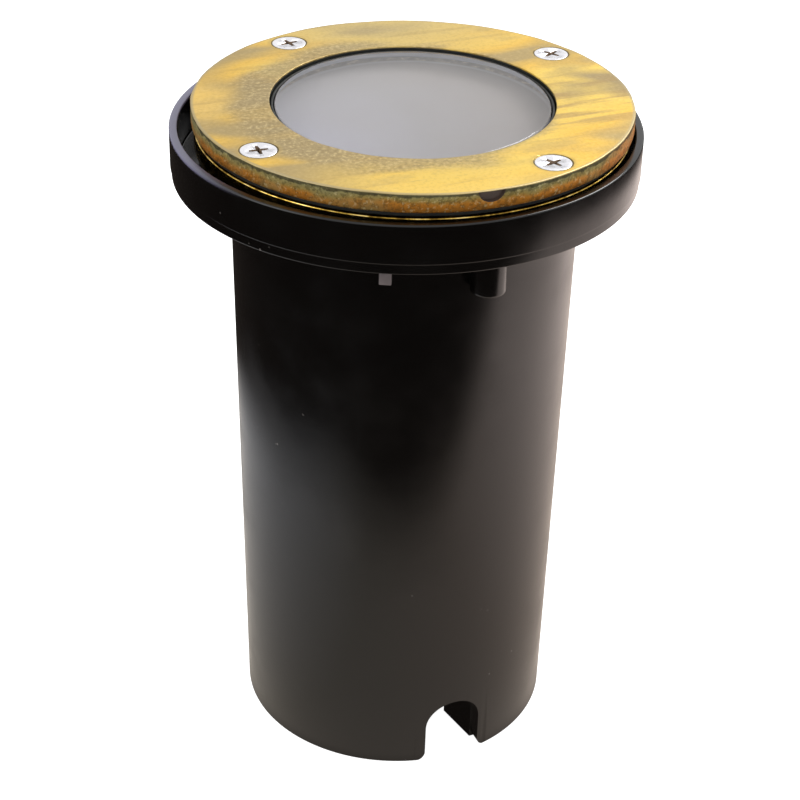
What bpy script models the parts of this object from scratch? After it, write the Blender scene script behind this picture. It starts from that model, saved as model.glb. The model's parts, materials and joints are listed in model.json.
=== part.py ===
"""Recessed pond light: a brass can with a glass lens, dropped into a moulded ground sleeve.

Metres, +Z up. The origin is the centre of the sleeve's foot. The can, its lid and its lamp are
modelled about their own axis and hang on one empty, the insert, which sits loosely in the sleeve.
"""
import math

import bmesh
import bpy
from mathutils import Vector

MM = 0.001
GAP = 0.3 * MM                      # between pieces that rest on or in each other

# How the insert sits in the sleeve
INSERT_TURN = math.radians(-26)
INSERT_SHIFT = 1.5 * MM
INSERT_SHIFT_ANGLE = math.radians(-23.5)
SLIDE_CLEARANCE = INSERT_SHIFT + GAP

# Heights, from the foot up
CABLE_ROOM = 60.0 * MM              # under the can
CAN_FLOOR = 3.0 * MM
WIRING_ROOM = 28.4 * MM             # can floor to the lamp socket
PIVOT_TO_LEDGE = 17.4 * MM
SEAT_SEAL_THICKNESS = 1.0 * MM
LENS_FLANGE_THICKNESS = 6.0 * MM
LENS_GASKET_THICKNESS = 0.7 * MM
FLANGE_GASKET_THICKNESS = 0.9 * MM
FLANGE_THICKNESS = 5.0 * MM
RING_THICKNESS = 5.0 * MM
RING_ABOVE_LIP = 1.1 * MM
LENS_BELOW_RING_TOP = 0.8 * MM

# Lamp, a 50 mm reflector lamp, and its gimbal
LAMP_RADIUS = 25.0 * MM
LAMP_RIM = 3.0 * MM
LAMP_DEPTH = 34.0 * MM              # rim's underside to the back of the shell
LAMP_NECK_RADIUS = 9.5 * MM
LAMP_WALL = 1.6 * MM
LAMP_LENS_THICKNESS = 2.4 * MM
LED_RADIUS = 6.5 * MM
LED_THICKNESS = 1.6 * MM
BASE_RADIUS = 8.5 * MM
BASE_LENGTH = 10.0 * MM
PIN_RADIUS = 0.75 * MM
PIN_SPACING = 5.3 * MM
PIN_IN_BASE = 5.0 * MM
PIN_IN_SOCKET = 6.0 * MM
SOCKET_SIZE = Vector((18.0, 11.0, 14.0)) * MM
GIMBAL_WALL = 3.2 * MM
GIMBAL_ABOVE = 5.0 * MM             # over the tilt axis
GIMBAL_BELOW = 4.0 * MM
GIMBAL_LEDGE = 2.0 * MM
CLIP_WIRE = 0.8 * MM

# Bracket
ARM_GAP = 2.0 * MM                  # gimbal ring to arm
STRAP_THICKNESS = 1.5 * MM
STRAP_WIDTH = 14.0 * MM
ARM_ABOVE_PIVOT = 6.5 * MM
ARM_CLEARANCE = 3.2 * MM            # arm corner to the can's bore
PAD_RADIUS = 4.2 * MM
PAD_HEIGHT = 4.0 * MM
BRACKET_PAD_X = 14.0 * MM

# Small screws: bracket, terminal block and pivots
SMALL_SHANK = 1.5 * MM
SMALL_HEAD = 2.8 * MM
SMALL_HEAD_HEIGHT = 1.8 * MM
SMALL_LENGTH = 4.0 * MM
SMALL_SLOT = 0.6 * MM
PIVOT_SHANK = 2.0 * MM
PIVOT_HEAD = 3.6 * MM
PIVOT_HEAD_HEIGHT = 1.6 * MM
PIVOT_IN_RING = 2.5 * MM
PIVOT_SLOT = 0.8 * MM

# Can, lens and ring
CAN_WALL = 2.0 * MM
LEDGE_WIDTH = 2.9 * MM
HEAD_WALL = 1.6 * MM
HEAD_BELOW_LEDGE = 4.0 * MM
SEAT_SEAL_WIDTH = 2.2 * MM
RING_LAP = 2.7 * MM                 # ring over the lens flange
GASKET_LIP = 0.7 * MM
RING_WIDTH = 19.8 * MM
RING_CHAMFER = 0.4 * MM
FLANGE_INSET = 0.6 * MM
GASKET_INSET = 0.4 * MM
GASKET_MARGIN = 2.2 * MM
SCREW_INSET = 6.5 * MM              # ring's edge to the screw circle
SCREW_COUNT = 4
SCREW_SHANK = 2.5 * MM
SCREW_HEAD = 4.5 * MM
SCREW_LENGTH = 11.0 * MM
SCREW_SUNK = 0.1 * MM
CROSS_SPAN = 5.0 * MM
CROSS_WIDTH = 1.1 * MM
CROSS_DEPTH = 1.6 * MM
POCKET_WIDTH = 6.6 * MM
POCKET_HEIGHT = 2.8 * MM
POCKET_DEPTH = 1.6 * MM
POCKET_SKIN = 0.3 * MM              # left over the pocket
POCKET_ANGLE = math.radians(-68)

# Ground sleeve
TUBE_WALL = 2.5 * MM
TUBE_TAPER = 2.3 * MM               # the radius lost from the cup down to the foot
GROOVE = 1.9 * MM                   # ring to cup wall
CUP_WALL = 2.1 * MM
CUP_HEIGHT = 12.8 * MM
CUP_FLOOR = 2.5 * MM
BAND_HEIGHT = 2.8 * MM
BAND_PROUD = 0.3 * MM
RIB_COUNT = 6
RIB_THICKNESS = 2.0 * MM
RIB_DROP = 0.3 * MM                 # rib tops below the seat
BOSS_RADIUS = 4.4 * MM
BOSS_PROUD = 2.9 * MM               # boss centre outside the tube wall
BOSS_DROP = 12.2 * MM
BOSS_TURN = math.radians(1.9)       # the bosses stand this far round from the notches
DRAIN_RADIUS = 1.5 * MM
NUB_SIZE = Vector((2.9, 1.6, 4.6)) * MM
NUB_INSET = 2.0 * MM
NUB_ANGLE = math.radians(-117.5)
NOTCH_WIDTH = 16.0 * MM
NOTCH_HEIGHT = 19.3 * MM
NOTCH_CORNER = 7.9 * MM
FOOT_CORNER = 3.0 * MM
FOOT_CLEAR = 0.5 * MM               # channel walls to the foot
CHANNEL_WALL = 2.2 * MM
CHANNEL_DEPTH = 18.0 * MM           # in from the tube's outer face
CHANNEL_STEP = 0.2 * MM             # the channel is this much inside the notch
CHANNEL_TAPER = 0.7                 # size of the channel's inner end over its mouth's

# Cable gland
GLAND_OFFSET = 19.5 * MM
GLAND_THREAD = 8.0 * MM
GLAND_BORE = 4.2 * MM
GLAND_HEX = 12.0 * MM
GLAND_HEX_HEIGHT = 5.0 * MM
GLAND_SPIGOT = 9.0 * MM
GLAND_SPIGOT_LENGTH = 8.0 * MM
GLAND_SEAL_WALL = 2.4 * MM
GLAND_SEAL_HEIGHT = 6.0 * MM
GLAND_NUT_WALL = 2.2 * MM
GLAND_NUT_END = 3.0 * MM
WASHER_THICKNESS = 1.2 * MM
LOCKNUT_HEIGHT = 3.6 * MM

# Terminal block and leads
BLOCK_SIZE = Vector((24.0, 12.0, 10.0)) * MM
BLOCK_OFFSET = 19.0 * MM
BLOCK_WEB = 2.0 * MM                # left under the mounting screw's head
TERMINAL_X = 7.5 * MM
LEAD_RADIUS = 0.9 * MM
LEAD_SPACING = 8.0 * MM

# Facets of a full turn
FINE, ROUND, INSIDE, SMALL, WIRE = 64, 48, 32, 24, 12

# Heights that follow
CAN_BOTTOM = CABLE_ROOM
FLOOR_TOP = CAN_BOTTOM + CAN_FLOOR
SOCKET_BOTTOM = FLOOR_TOP + WIRING_ROOM
BASE_BOTTOM = SOCKET_BOTTOM + SOCKET_SIZE.z + GAP
BASE_TOP = BASE_BOTTOM + BASE_LENGTH
SHELL_BOTTOM = BASE_TOP + GAP
RIM_BOTTOM = SHELL_BOTTOM + LAMP_DEPTH
PIVOT_Z = RIM_BOTTOM
LEDGE_Z = PIVOT_Z + PIVOT_TO_LEDGE
LENS_BOTTOM = LEDGE_Z + SEAT_SEAL_THICKNESS + 2 * GAP
LENS_STEP = LENS_BOTTOM + LENS_FLANGE_THICKNESS
RING_BOTTOM = LENS_STEP + LENS_GASKET_THICKNESS + 2 * GAP
RING_TOP = RING_BOTTOM + RING_THICKNESS
FLANGE_TOP = RING_BOTTOM - FLANGE_GASKET_THICKNESS - 2 * GAP
FLANGE_BOTTOM = FLANGE_TOP - FLANGE_THICKNESS
LIP_TOP = RING_BOTTOM - RING_ABOVE_LIP
CUP_BOTTOM = LIP_TOP - CUP_HEIGHT
SEAT_TOP = FLANGE_BOTTOM - GAP

# Radii that follow
GIMBAL_BORE = LAMP_RADIUS + GAP
GIMBAL_RADIUS = GIMBAL_BORE + GIMBAL_WALL
ARM_INNER = GIMBAL_RADIUS + ARM_GAP
ARM_OUTER = ARM_INNER + STRAP_THICKNESS
CAN_BORE = math.hypot(ARM_OUTER, STRAP_WIDTH / 2) + ARM_CLEARANCE
CAN_RADIUS = CAN_BORE + CAN_WALL
LENS_FLANGE_RADIUS = CAN_BORE + LEDGE_WIDTH
COUNTERBORE = LENS_FLANGE_RADIUS + GAP
HEAD_RADIUS = COUNTERBORE + HEAD_WALL
OPENING_RADIUS = LENS_FLANGE_RADIUS - RING_LAP
LIP_RADIUS = OPENING_RADIUS - GAP
LENS_RADIUS = LIP_RADIUS - GASKET_LIP - GAP
RING_RADIUS = OPENING_RADIUS + RING_WIDTH
SCREW_CIRCLE = RING_RADIUS - SCREW_INSET
FLANGE_RADIUS = RING_RADIUS - FLANGE_INSET
TUBE_BORE = HEAD_RADIUS + SLIDE_CLEARANCE
TUBE_RADIUS = TUBE_BORE + TUBE_WALL
CUP_BORE = RING_RADIUS + GROOVE
CUP_RADIUS = CUP_BORE + CUP_WALL
FOOT_RADIUS = TUBE_RADIUS - TUBE_TAPER
MOUTH = math.sqrt((FOOT_RADIUS - TUBE_WALL) ** 2 - (NOTCH_WIDTH / 2 + FOOT_CORNER) ** 2)

PARTS = "pond_light"
CUTTERS = "pond_light_cutters"


# Scene and materials

def clear_scene():
    for obj in list(bpy.data.objects):
        bpy.data.objects.remove(obj, do_unlink=True)


def collection(name):
    made = bpy.data.collections.new(name)
    bpy.context.scene.collection.children.link(made)
    return made


def material(name, color, metallic, roughness, transmission=0.0):
    made = bpy.data.materials.new(name)
    made.use_nodes = True
    shader = made.node_tree.nodes["Principled BSDF"]
    shader.inputs["Base Color"].default_value = (*color, 1)
    shader.inputs["Metallic"].default_value = metallic
    shader.inputs["Roughness"].default_value = roughness
    shader.inputs["Transmission Weight"].default_value = transmission
    made.diffuse_color = (*color, 1)
    return made


def make_materials():
    return {
        "cast_brass": material("cast_brass", (0.70, 0.50, 0.16), 0.9, 0.5),
        "bright_brass": material("bright_brass", (0.83, 0.62, 0.22), 1.0, 0.25),
        "stainless": material("stainless", (0.78, 0.78, 0.76), 1.0, 0.3),
        "black_plastic": material("black_plastic", (0.02, 0.018, 0.016), 0.0, 0.22),
        "rubber": material("rubber", (0.02, 0.02, 0.02), 0.0, 0.75),
        "silicone": material("silicone", (0.75, 0.75, 0.73), 0.0, 0.6),
        "lens": material("lens", (0.92, 0.95, 0.97), 0.0, 0.08, 0.9),
        "aluminium": material("aluminium", (0.75, 0.76, 0.78), 1.0, 0.35),
        "ceramic": material("ceramic", (0.88, 0.87, 0.82), 0.0, 0.35),
        "white_plastic": material("white_plastic", (0.85, 0.85, 0.82), 0.0, 0.4),
        "led_board": material("led_board", (0.90, 0.88, 0.60), 0.0, 0.4),
        "red_wire": material("red_wire", (0.45, 0.03, 0.03), 0.0, 0.45),
        "black_wire": material("black_wire", (0.02, 0.02, 0.02), 0.0, 0.45),
    }


# Shapes

def add_object(name, mesh, finish=None, parent=None):
    """A part when it has a finish, a cutter when it has none."""
    obj = bpy.data.objects.new(name, mesh)
    if finish is None:
        bpy.data.collections[CUTTERS].objects.link(obj)
        obj.hide_render = True
        obj.display_type = "WIRE"
    else:
        bpy.data.collections[PARTS].objects.link(obj)
        mesh.materials.append(finish)
    obj.parent = parent
    return obj


def mesh_from(name, bm):
    bmesh.ops.recalc_face_normals(bm, faces=bm.faces)
    mesh = bpy.data.meshes.new(name)
    bm.to_mesh(mesh)
    bm.free()
    mesh.shade_smooth()
    mesh.set_sharp_from_angle(angle=math.radians(35))
    return mesh


def box(name, size, center, finish=None, parent=None):
    bm = bmesh.new()
    bmesh.ops.create_cube(bm, size=1)
    bmesh.ops.scale(bm, vec=size, verts=bm.verts)
    obj = add_object(name, mesh_from(name, bm), finish, parent)
    obj.location = center
    return obj


def cylinder(name, radius, bottom, top, x=0.0, y=0.0, finish=None, parent=None,
             top_radius=None, facets=SMALL):
    """Upright, from bottom to top; its mesh is centred on its own axis."""
    bm = bmesh.new()
    wide = radius if top_radius is None else top_radius
    bmesh.ops.create_cone(bm, cap_ends=True, segments=facets, radius1=radius, radius2=wide,
                          depth=top - bottom)
    obj = add_object(name, mesh_from(name, bm), finish, parent)
    obj.location = (x, y, (top + bottom) / 2)
    return obj


def turned(name, profile, facets, finish=None, parent=None, closed=True):
    """A profile of (radius, height) turned about Z. Its outer side is listed from top to bottom."""
    mesh = bpy.data.meshes.new(name)
    count = len(profile)
    edges = [(i, i + 1) for i in range(count - 1)]
    if closed:
        edges.append((count - 1, 0))
    mesh.from_pydata([(r, 0, z) for r, z in profile], edges, [])
    obj = add_object(name, mesh, finish, parent)
    screw = obj.modifiers.new("turn", "SCREW")
    screw.steps = facets
    screw.render_steps = facets
    screw.use_merge_vertices = True
    screw.merge_threshold = 0.00001
    screw.use_smooth_shade = False
    return obj


def ring_of(name, inner, outer, bottom, top, facets, finish=None, parent=None):
    profile = [(outer, top), (outer, bottom), (inner, bottom), (inner, top)]
    return turned(name, profile, facets, finish, parent)


def boolean(obj, tool, operation):
    modifier = obj.modifiers.new(tool.name, "BOOLEAN")
    modifier.operation = operation
    modifier.solver = "EXACT"
    modifier.object = tool


def cut(obj, tool):
    boolean(obj, tool, "DIFFERENCE")


def join(obj, tool):
    boolean(obj, tool, "UNION")


def empty(name, location, parent=None):
    obj = bpy.data.objects.new(name, None)
    bpy.data.collections[PARTS].objects.link(obj)
    obj.empty_display_size = 0.01
    obj.location = location
    obj.parent = parent
    return obj


def arc(cx, cy, radius, start, end, count):
    """Points from start to end, both in degrees and both included."""
    angles = [math.radians(start + (end - start) * i / count) for i in range(count + 1)]
    return [(cx + radius * math.cos(a), cy + radius * math.sin(a)) for a in angles]


def prism(name, outline, depth):
    """An outline in X and Z, extruded along Y from -depth / 2 to depth / 2."""
    bm = bmesh.new()
    near = [bm.verts.new((x, -depth / 2, z)) for x, z in outline]
    face = bm.faces.new(near)
    grown = bmesh.ops.extrude_face_region(bm, geom=[face])
    moved = [item for item in grown["geom"] if isinstance(item, bmesh.types.BMVert)]
    bmesh.ops.translate(bm, vec=(0, depth, 0), verts=moved)
    return add_object(name, mesh_from(name, bm))


# Ground sleeve

def sleeve_profile():
    lip = 0.4 * MM
    outer = [
        (CUP_RADIUS - lip, LIP_TOP),
        (CUP_RADIUS, LIP_TOP - lip),
        (CUP_RADIUS, CUP_BOTTOM + BAND_HEIGHT),
        (CUP_RADIUS - BAND_PROUD, CUP_BOTTOM + BAND_HEIGHT),
        (CUP_RADIUS - BAND_PROUD, CUP_BOTTOM),
        (TUBE_RADIUS, CUP_BOTTOM),
        (FOOT_RADIUS, 0),
    ]
    inner = [
        (FOOT_RADIUS - TUBE_WALL, 0),
        (TUBE_BORE, CUP_BOTTOM),
        (TUBE_BORE, SEAT_TOP),
        (TUBE_RADIUS, SEAT_TOP),
        (TUBE_RADIUS, CUP_BOTTOM + CUP_FLOOR),
        (CUP_BORE, CUP_BOTTOM + CUP_FLOOR),
        (CUP_BORE, LIP_TOP - lip),
        (CUP_BORE + lip, LIP_TOP),
    ]
    return outer + inner


def arch(margin, start):
    """An arch grown by margin all round; start lists the right side's points below its spring."""
    half = NOTCH_WIDTH / 2
    corner = NOTCH_CORNER + margin
    crown = arc(half - NOTCH_CORNER, NOTCH_HEIGHT - NOTCH_CORNER, corner, 0, 90, 6)
    side = start + crown
    return side + [(-x, z) for x, z in reversed(side)]


def narrow(channel):
    """Narrows a prism towards the sleeve's axis, so that the channel leads the cable in."""
    length = MOUTH - FOOT_RADIUS + CHANNEL_DEPTH
    for vert in channel.data.vertices:
        inward = (MOUTH - abs(vert.co.y + channel.location.y)) / length
        share = 1 - (1 - CHANNEL_TAPER) * inward
        vert.co.x *= share
        vert.co.z *= share


def add_channel(sleeve, name, side):
    """The tunnel that leads a cable in from the foot of the tube; side is -1 or 1 along Y."""
    half = NOTCH_WIDTH / 2
    block = prism(name + "_channel", arch(CHANNEL_WALL, [(half + CHANNEL_WALL, FOOT_CLEAR)]), CHANNEL_DEPTH)
    block.location.y = side * (FOOT_RADIUS - CHANNEL_DEPTH / 2)
    narrow(block)
    above = 1.5 * (NOTCH_HEIGHT + CHANNEL_WALL)
    limit = cylinder(name + "_limit", FOOT_RADIUS - TUBE_WALL / 2, -MM, above, facets=FINE)
    boolean(block, limit, "INTERSECT")
    join(sleeve, block)


def cut_notch(sleeve, name, side):
    """The arch through the wall, with rounded feet, and the smaller one through the channel."""
    half = NOTCH_WIDTH / 2
    below = -5 * MM
    inside = MOUTH - MM
    outside = FOOT_RADIUS + TUBE_TAPER
    feet = [(half + FOOT_CORNER, below)] + arc(half + FOOT_CORNER, FOOT_CORNER, FOOT_CORNER, 270, 180, 4)
    mouth = prism(name + "_notch", arch(0, feet), outside - inside)
    mouth.location.y = side * (outside + inside) / 2
    cut(sleeve, mouth)
    bore_start = FOOT_RADIUS - CHANNEL_DEPTH - MM
    bore_end = MOUTH
    bore = prism(name + "_bore", arch(-CHANNEL_STEP, [(half - CHANNEL_STEP, below)]), bore_end - bore_start)
    bore.location.y = side * (bore_start + bore_end) / 2
    narrow(bore)
    cut(sleeve, bore)


def make_sleeve(finish):
    sleeve = turned("ground_sleeve", sleeve_profile(), FINE, finish["black_plastic"])
    floor_top = CUP_BOTTOM + CUP_FLOOR
    overlap = 0.8 * MM
    for i in range(RIB_COUNT):
        angle = 2 * math.pi * i / RIB_COUNT
        reach = CUP_BORE - TUBE_RADIUS + 2 * overlap
        middle = (CUP_BORE + TUBE_RADIUS) / 2
        height = SEAT_TOP - RIB_DROP - floor_top + overlap
        rib = box(f"rib_{i + 1}", (reach, RIB_THICKNESS, height), (0, 0, 0))
        rib.location = (middle * math.cos(angle), middle * math.sin(angle), SEAT_TOP - RIB_DROP - height / 2)
        rib.rotation_euler.z = angle
        join(sleeve, rib)
    for side, name in ((-1, "front"), (1, "rear")):
        out = TUBE_RADIUS + BOSS_PROUD
        place = (-side * out * math.sin(BOSS_TURN), side * out * math.cos(BOSS_TURN))
        bottom = CUP_BOTTOM - BOSS_DROP
        join(sleeve, cylinder(f"{name}_boss", BOSS_RADIUS, bottom, CUP_BOTTOM + CUP_FLOOR / 2, *place))
        drain = cylinder(f"{name}_drain", DRAIN_RADIUS, bottom - MM, floor_top + MM, *place, facets=WIRE)
        cut(sleeve, drain)
        add_channel(sleeve, name, side)
        cut_notch(sleeve, name, side)
    distance = CUP_RADIUS - NUB_INSET
    nub = box("nub_block", NUB_SIZE, (0, 0, 0))
    nub.location = (distance * math.cos(NUB_ANGLE), distance * math.sin(NUB_ANGLE), CUP_BOTTOM)
    nub.location.z += CUP_FLOOR / 2 - NUB_SIZE.z / 2
    nub.rotation_euler.z = NUB_ANGLE + math.pi / 2
    join(sleeve, nub)


# Light can, its gaskets and its cable gland

def screw_places():
    for i in range(SCREW_COUNT):
        angle = math.radians(45) + 2 * math.pi * i / SCREW_COUNT
        yield i + 1, SCREW_CIRCLE * math.cos(angle), SCREW_CIRCLE * math.sin(angle)


def cut_screw_holes(obj, bottom, top):
    """Turned by half a facet, so that no corner of a hole falls on an edge of the piece."""
    for number, x, y in screw_places():
        hole = cylinder(f"{obj.name}_hole_{number}", SCREW_SHANK + GAP, bottom, top, x, y, parent=obj.parent)
        hole.rotation_euler.z = math.pi / SMALL
        cut(obj, hole)


def make_can(finish, insert):
    head_bottom = LEDGE_Z - HEAD_BELOW_LEDGE
    inside = [
        (0, FLOOR_TOP),
        (CAN_BORE, FLOOR_TOP),
        (CAN_BORE, LEDGE_Z),
        (COUNTERBORE, LEDGE_Z),
        (COUNTERBORE, FLANGE_TOP),
    ]
    outside = [
        (FLANGE_RADIUS, FLANGE_TOP),
        (FLANGE_RADIUS, FLANGE_BOTTOM),
        (HEAD_RADIUS, FLANGE_BOTTOM),
        (HEAD_RADIUS, head_bottom),
        (CAN_RADIUS, head_bottom - (HEAD_RADIUS - CAN_RADIUS)),
        (CAN_RADIUS, CAN_BOTTOM),
        (0, CAN_BOTTOM),
    ]
    can = turned("light_can", inside + outside, ROUND, finish["bright_brass"], insert, closed=False)
    cut_screw_holes(can, FLANGE_BOTTOM - MM, FLANGE_TOP + MM)
    for name, x, y in pad_places():
        pad = cylinder(name + "_pad", PAD_RADIUS, FLOOR_TOP - CAN_FLOOR / 2, FLOOR_TOP + PAD_HEIGHT, x, y,
                       parent=insert, facets=WIRE)
        join(can, pad)
        hole = cylinder(name + "_pad_hole", SMALL_SHANK + GAP, FLOOR_TOP + GAP,
                        FLOOR_TOP + PAD_HEIGHT + MM, x, y, parent=insert, facets=WIRE)
        cut(can, hole)
    gland_hole = cylinder("can_gland_hole", GLAND_THREAD + GAP, CAN_BOTTOM - MM, FLOOR_TOP + MM,
                          0, -GLAND_OFFSET, parent=insert)
    cut(can, gland_hole)


def pad_places():
    return (("bracket_1", -BRACKET_PAD_X, 0), ("bracket_2", BRACKET_PAD_X, 0), ("terminal", 0, BLOCK_OFFSET))


def make_can_seals(finish, insert):
    inner = COUNTERBORE + GASKET_MARGIN
    top = RING_BOTTOM - GAP
    bottom = top - FLANGE_GASKET_THICKNESS
    outer = FLANGE_RADIUS - GASKET_INSET
    gasket = ring_of("flange_gasket", inner, outer, bottom, top, ROUND, finish["rubber"], insert)
    cut_screw_holes(gasket, bottom - MM, top + MM)
    seal_outer = COUNTERBORE - GAP
    seal_bottom = LEDGE_Z + GAP
    ring_of("lens_seat_seal", seal_outer - SEAT_SEAL_WIDTH, seal_outer, seal_bottom,
            seal_bottom + SEAT_SEAL_THICKNESS, ROUND, finish["silicone"], insert)


def make_gland(finish, insert):
    axis = empty("gland_axis", (0, -GLAND_OFFSET, 0), insert)
    washer_top = CAN_BOTTOM - GAP
    hex_top = washer_top - WASHER_THICKNESS - GAP
    hex_bottom = hex_top - GLAND_HEX_HEIGHT
    spigot_bottom = hex_bottom - GLAND_SPIGOT_LENGTH
    thread_top = FLOOR_TOP + LOCKNUT_HEIGHT + GAP + MM
    ring_of("gland_washer", GLAND_THREAD + GAP, GLAND_HEX, washer_top - WASHER_THICKNESS, washer_top, SMALL,
            finish["rubber"], axis)
    body = cylinder("gland_body", GLAND_HEX, hex_bottom, hex_top, finish=finish["bright_brass"],
                    parent=axis, facets=6)
    join(body, cylinder("gland_thread", GLAND_THREAD, hex_top - MM, thread_top, parent=axis))
    join(body, cylinder("gland_spigot", GLAND_SPIGOT, spigot_bottom, hex_bottom + MM, parent=axis))
    cut(body, cylinder("gland_bore", GLAND_BORE, spigot_bottom - MM, thread_top + MM, parent=axis))
    seal_radius = GLAND_BORE + GLAND_SEAL_WALL
    seal_bottom = spigot_bottom + GAP
    seal_top = seal_bottom + GLAND_SEAL_HEIGHT
    cut(body, cylinder("gland_seal_seat", seal_radius + GAP, spigot_bottom - MM, seal_top + GAP, parent=axis))
    ring_of("gland_seal", GLAND_BORE - MM, seal_radius, seal_bottom, seal_top, SMALL, finish["rubber"], axis)
    nut_top = hex_bottom - GAP
    nut_bottom = spigot_bottom - GAP - GLAND_NUT_END
    nut_bore = GLAND_SPIGOT + GAP
    nut = [
        (nut_bore + GLAND_NUT_WALL, nut_top),
        (nut_bore + GLAND_NUT_WALL, nut_bottom + GLAND_NUT_END),
        (nut_bore - GLAND_NUT_WALL, nut_bottom),
        (GLAND_BORE, nut_bottom),
        (GLAND_BORE, nut_bottom + GLAND_NUT_END),
        (nut_bore, nut_bottom + GLAND_NUT_END),
        (nut_bore, nut_top),
    ]
    turned("gland_nut", nut, SMALL, finish["bright_brass"], axis)
    lock_base = FLOOR_TOP + GAP
    lock_top = lock_base + LOCKNUT_HEIGHT
    lock = cylinder("gland_locknut", GLAND_HEX, lock_base, lock_top, finish=finish["bright_brass"],
                    parent=axis, facets=6)
    cut(lock, cylinder("locknut_bore", GLAND_THREAD + GAP, lock_base - MM, lock_top + MM, parent=axis))


# Lid: ring, screws, glass and gasket

def make_ring(finish, insert):
    edge = RING_CHAMFER
    profile = [
        (RING_RADIUS - edge, RING_TOP),
        (RING_RADIUS, RING_TOP - edge),
        (RING_RADIUS, RING_BOTTOM + edge),
        (RING_RADIUS - edge, RING_BOTTOM),
        (OPENING_RADIUS, RING_BOTTOM),
        (OPENING_RADIUS, RING_TOP - edge),
        (OPENING_RADIUS + edge, RING_TOP),
    ]
    ring = turned("trim_ring", profile, FINE, finish["cast_brass"], insert)
    cut_screw_holes(ring, RING_BOTTOM - MM, RING_TOP + MM)
    # a 90 degree cone that clears the screw's head and runs out above the ring
    narrow = SCREW_SHANK + GAP
    bottom = RING_TOP - SCREW_SUNK - (SCREW_HEAD - SCREW_SHANK)
    top = RING_TOP + MM
    for number, x, y in screw_places():
        cone = cylinder(f"countersink_{number}", narrow, bottom, top, x, y, parent=insert,
                        top_radius=narrow + top - bottom)
        cone.rotation_euler.z = math.pi / SMALL
        cut(ring, cone)
    cut(ring, pocket_cutter(insert))


def pocket_cutter(insert):
    """A half round plug that enters the ring's rim just under its top edge."""
    half = POCKET_WIDTH / 2
    top = RING_TOP - POCKET_SKIN
    curve = [(half * math.cos(a), top + POCKET_HEIGHT * math.sin(a))
             for a in (math.radians(180 + 15 * i) for i in range(13))]
    plug = prism("pocket_plug", curve, 2 * POCKET_DEPTH)
    plug.parent = insert
    plug.location = (RING_RADIUS * math.cos(POCKET_ANGLE), RING_RADIUS * math.sin(POCKET_ANGLE), 0)
    plug.rotation_euler.z = POCKET_ANGLE + math.pi / 2
    return plug


def cross_recess(name, span, width, depth, top, parent):
    """The two bars of a Phillips recess, open at the top."""
    height = depth + MM
    bars = []
    for i, size in enumerate(((span, width, height), (width, span, height))):
        bars.append(box(f"{name}_bar_{i + 1}", size, (0, 0, top - depth + height / 2), parent=parent))
    return bars


def make_ring_screws(finish, insert):
    top = RING_TOP - SCREW_SUNK
    sink = SCREW_HEAD - SCREW_SHANK
    tip = top - SCREW_LENGTH
    point = SCREW_SHANK / 3
    profile = [(0, top), (SCREW_HEAD, top), (SCREW_SHANK, top - sink), (SCREW_SHANK, tip + point),
               (SCREW_SHANK - point, tip), (0, tip)]
    for number, x, y in screw_places():
        axis = empty(f"ring_screw_axis_{number}", (x, y, 0), insert)
        screw = turned(f"ring_screw_{number}", profile, SMALL, finish["stainless"], axis, closed=False)
        for bar in cross_recess(screw.name, CROSS_SPAN, CROSS_WIDTH, CROSS_DEPTH, top, axis):
            cut(screw, bar)


def make_lens(finish, insert):
    top = RING_TOP - LENS_BELOW_RING_TOP
    bevel = 0.6 * MM
    glass = [(0, top), (LENS_RADIUS - bevel, top), (LENS_RADIUS, top - bevel), (LENS_RADIUS, LENS_STEP),
             (LENS_FLANGE_RADIUS, LENS_STEP), (LENS_FLANGE_RADIUS, LENS_BOTTOM), (0, LENS_BOTTOM)]
    turned("lens_glass", glass, FINE, finish["lens"], insert, closed=False)
    base = LENS_STEP + GAP
    gasket = [
        (LIP_RADIUS, top - GAP),
        (LIP_RADIUS, base + LENS_GASKET_THICKNESS),
        (LENS_FLANGE_RADIUS, base + LENS_GASKET_THICKNESS),
        (LENS_FLANGE_RADIUS, base),
        (LENS_RADIUS + GAP, base),
        (LENS_RADIUS + GAP, top - GAP),
    ]
    turned("lens_gasket", gasket, FINE, finish["rubber"], insert)


# Bracket, terminal block and small screws

def small_screw(name, x, y, top, finish, parent):
    """A pan head screw whose shank hangs from the height top."""
    axis = empty(name + "_axis", (x, y, 0), parent)
    head = top + GAP
    crown = head + SMALL_HEAD_HEIGHT
    tip = top - SMALL_LENGTH
    profile = [(0, crown), (0.8 * SMALL_HEAD, crown), (SMALL_HEAD, head), (SMALL_SHANK, head),
               (SMALL_SHANK, tip), (0, tip)]
    screw = turned(name, profile, WIRE, finish, axis, closed=False)
    for bar in cross_recess(name, 1.3 * SMALL_HEAD, SMALL_SLOT, SMALL_HEAD_HEIGHT / 2, crown, axis):
        cut(screw, bar)


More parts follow.
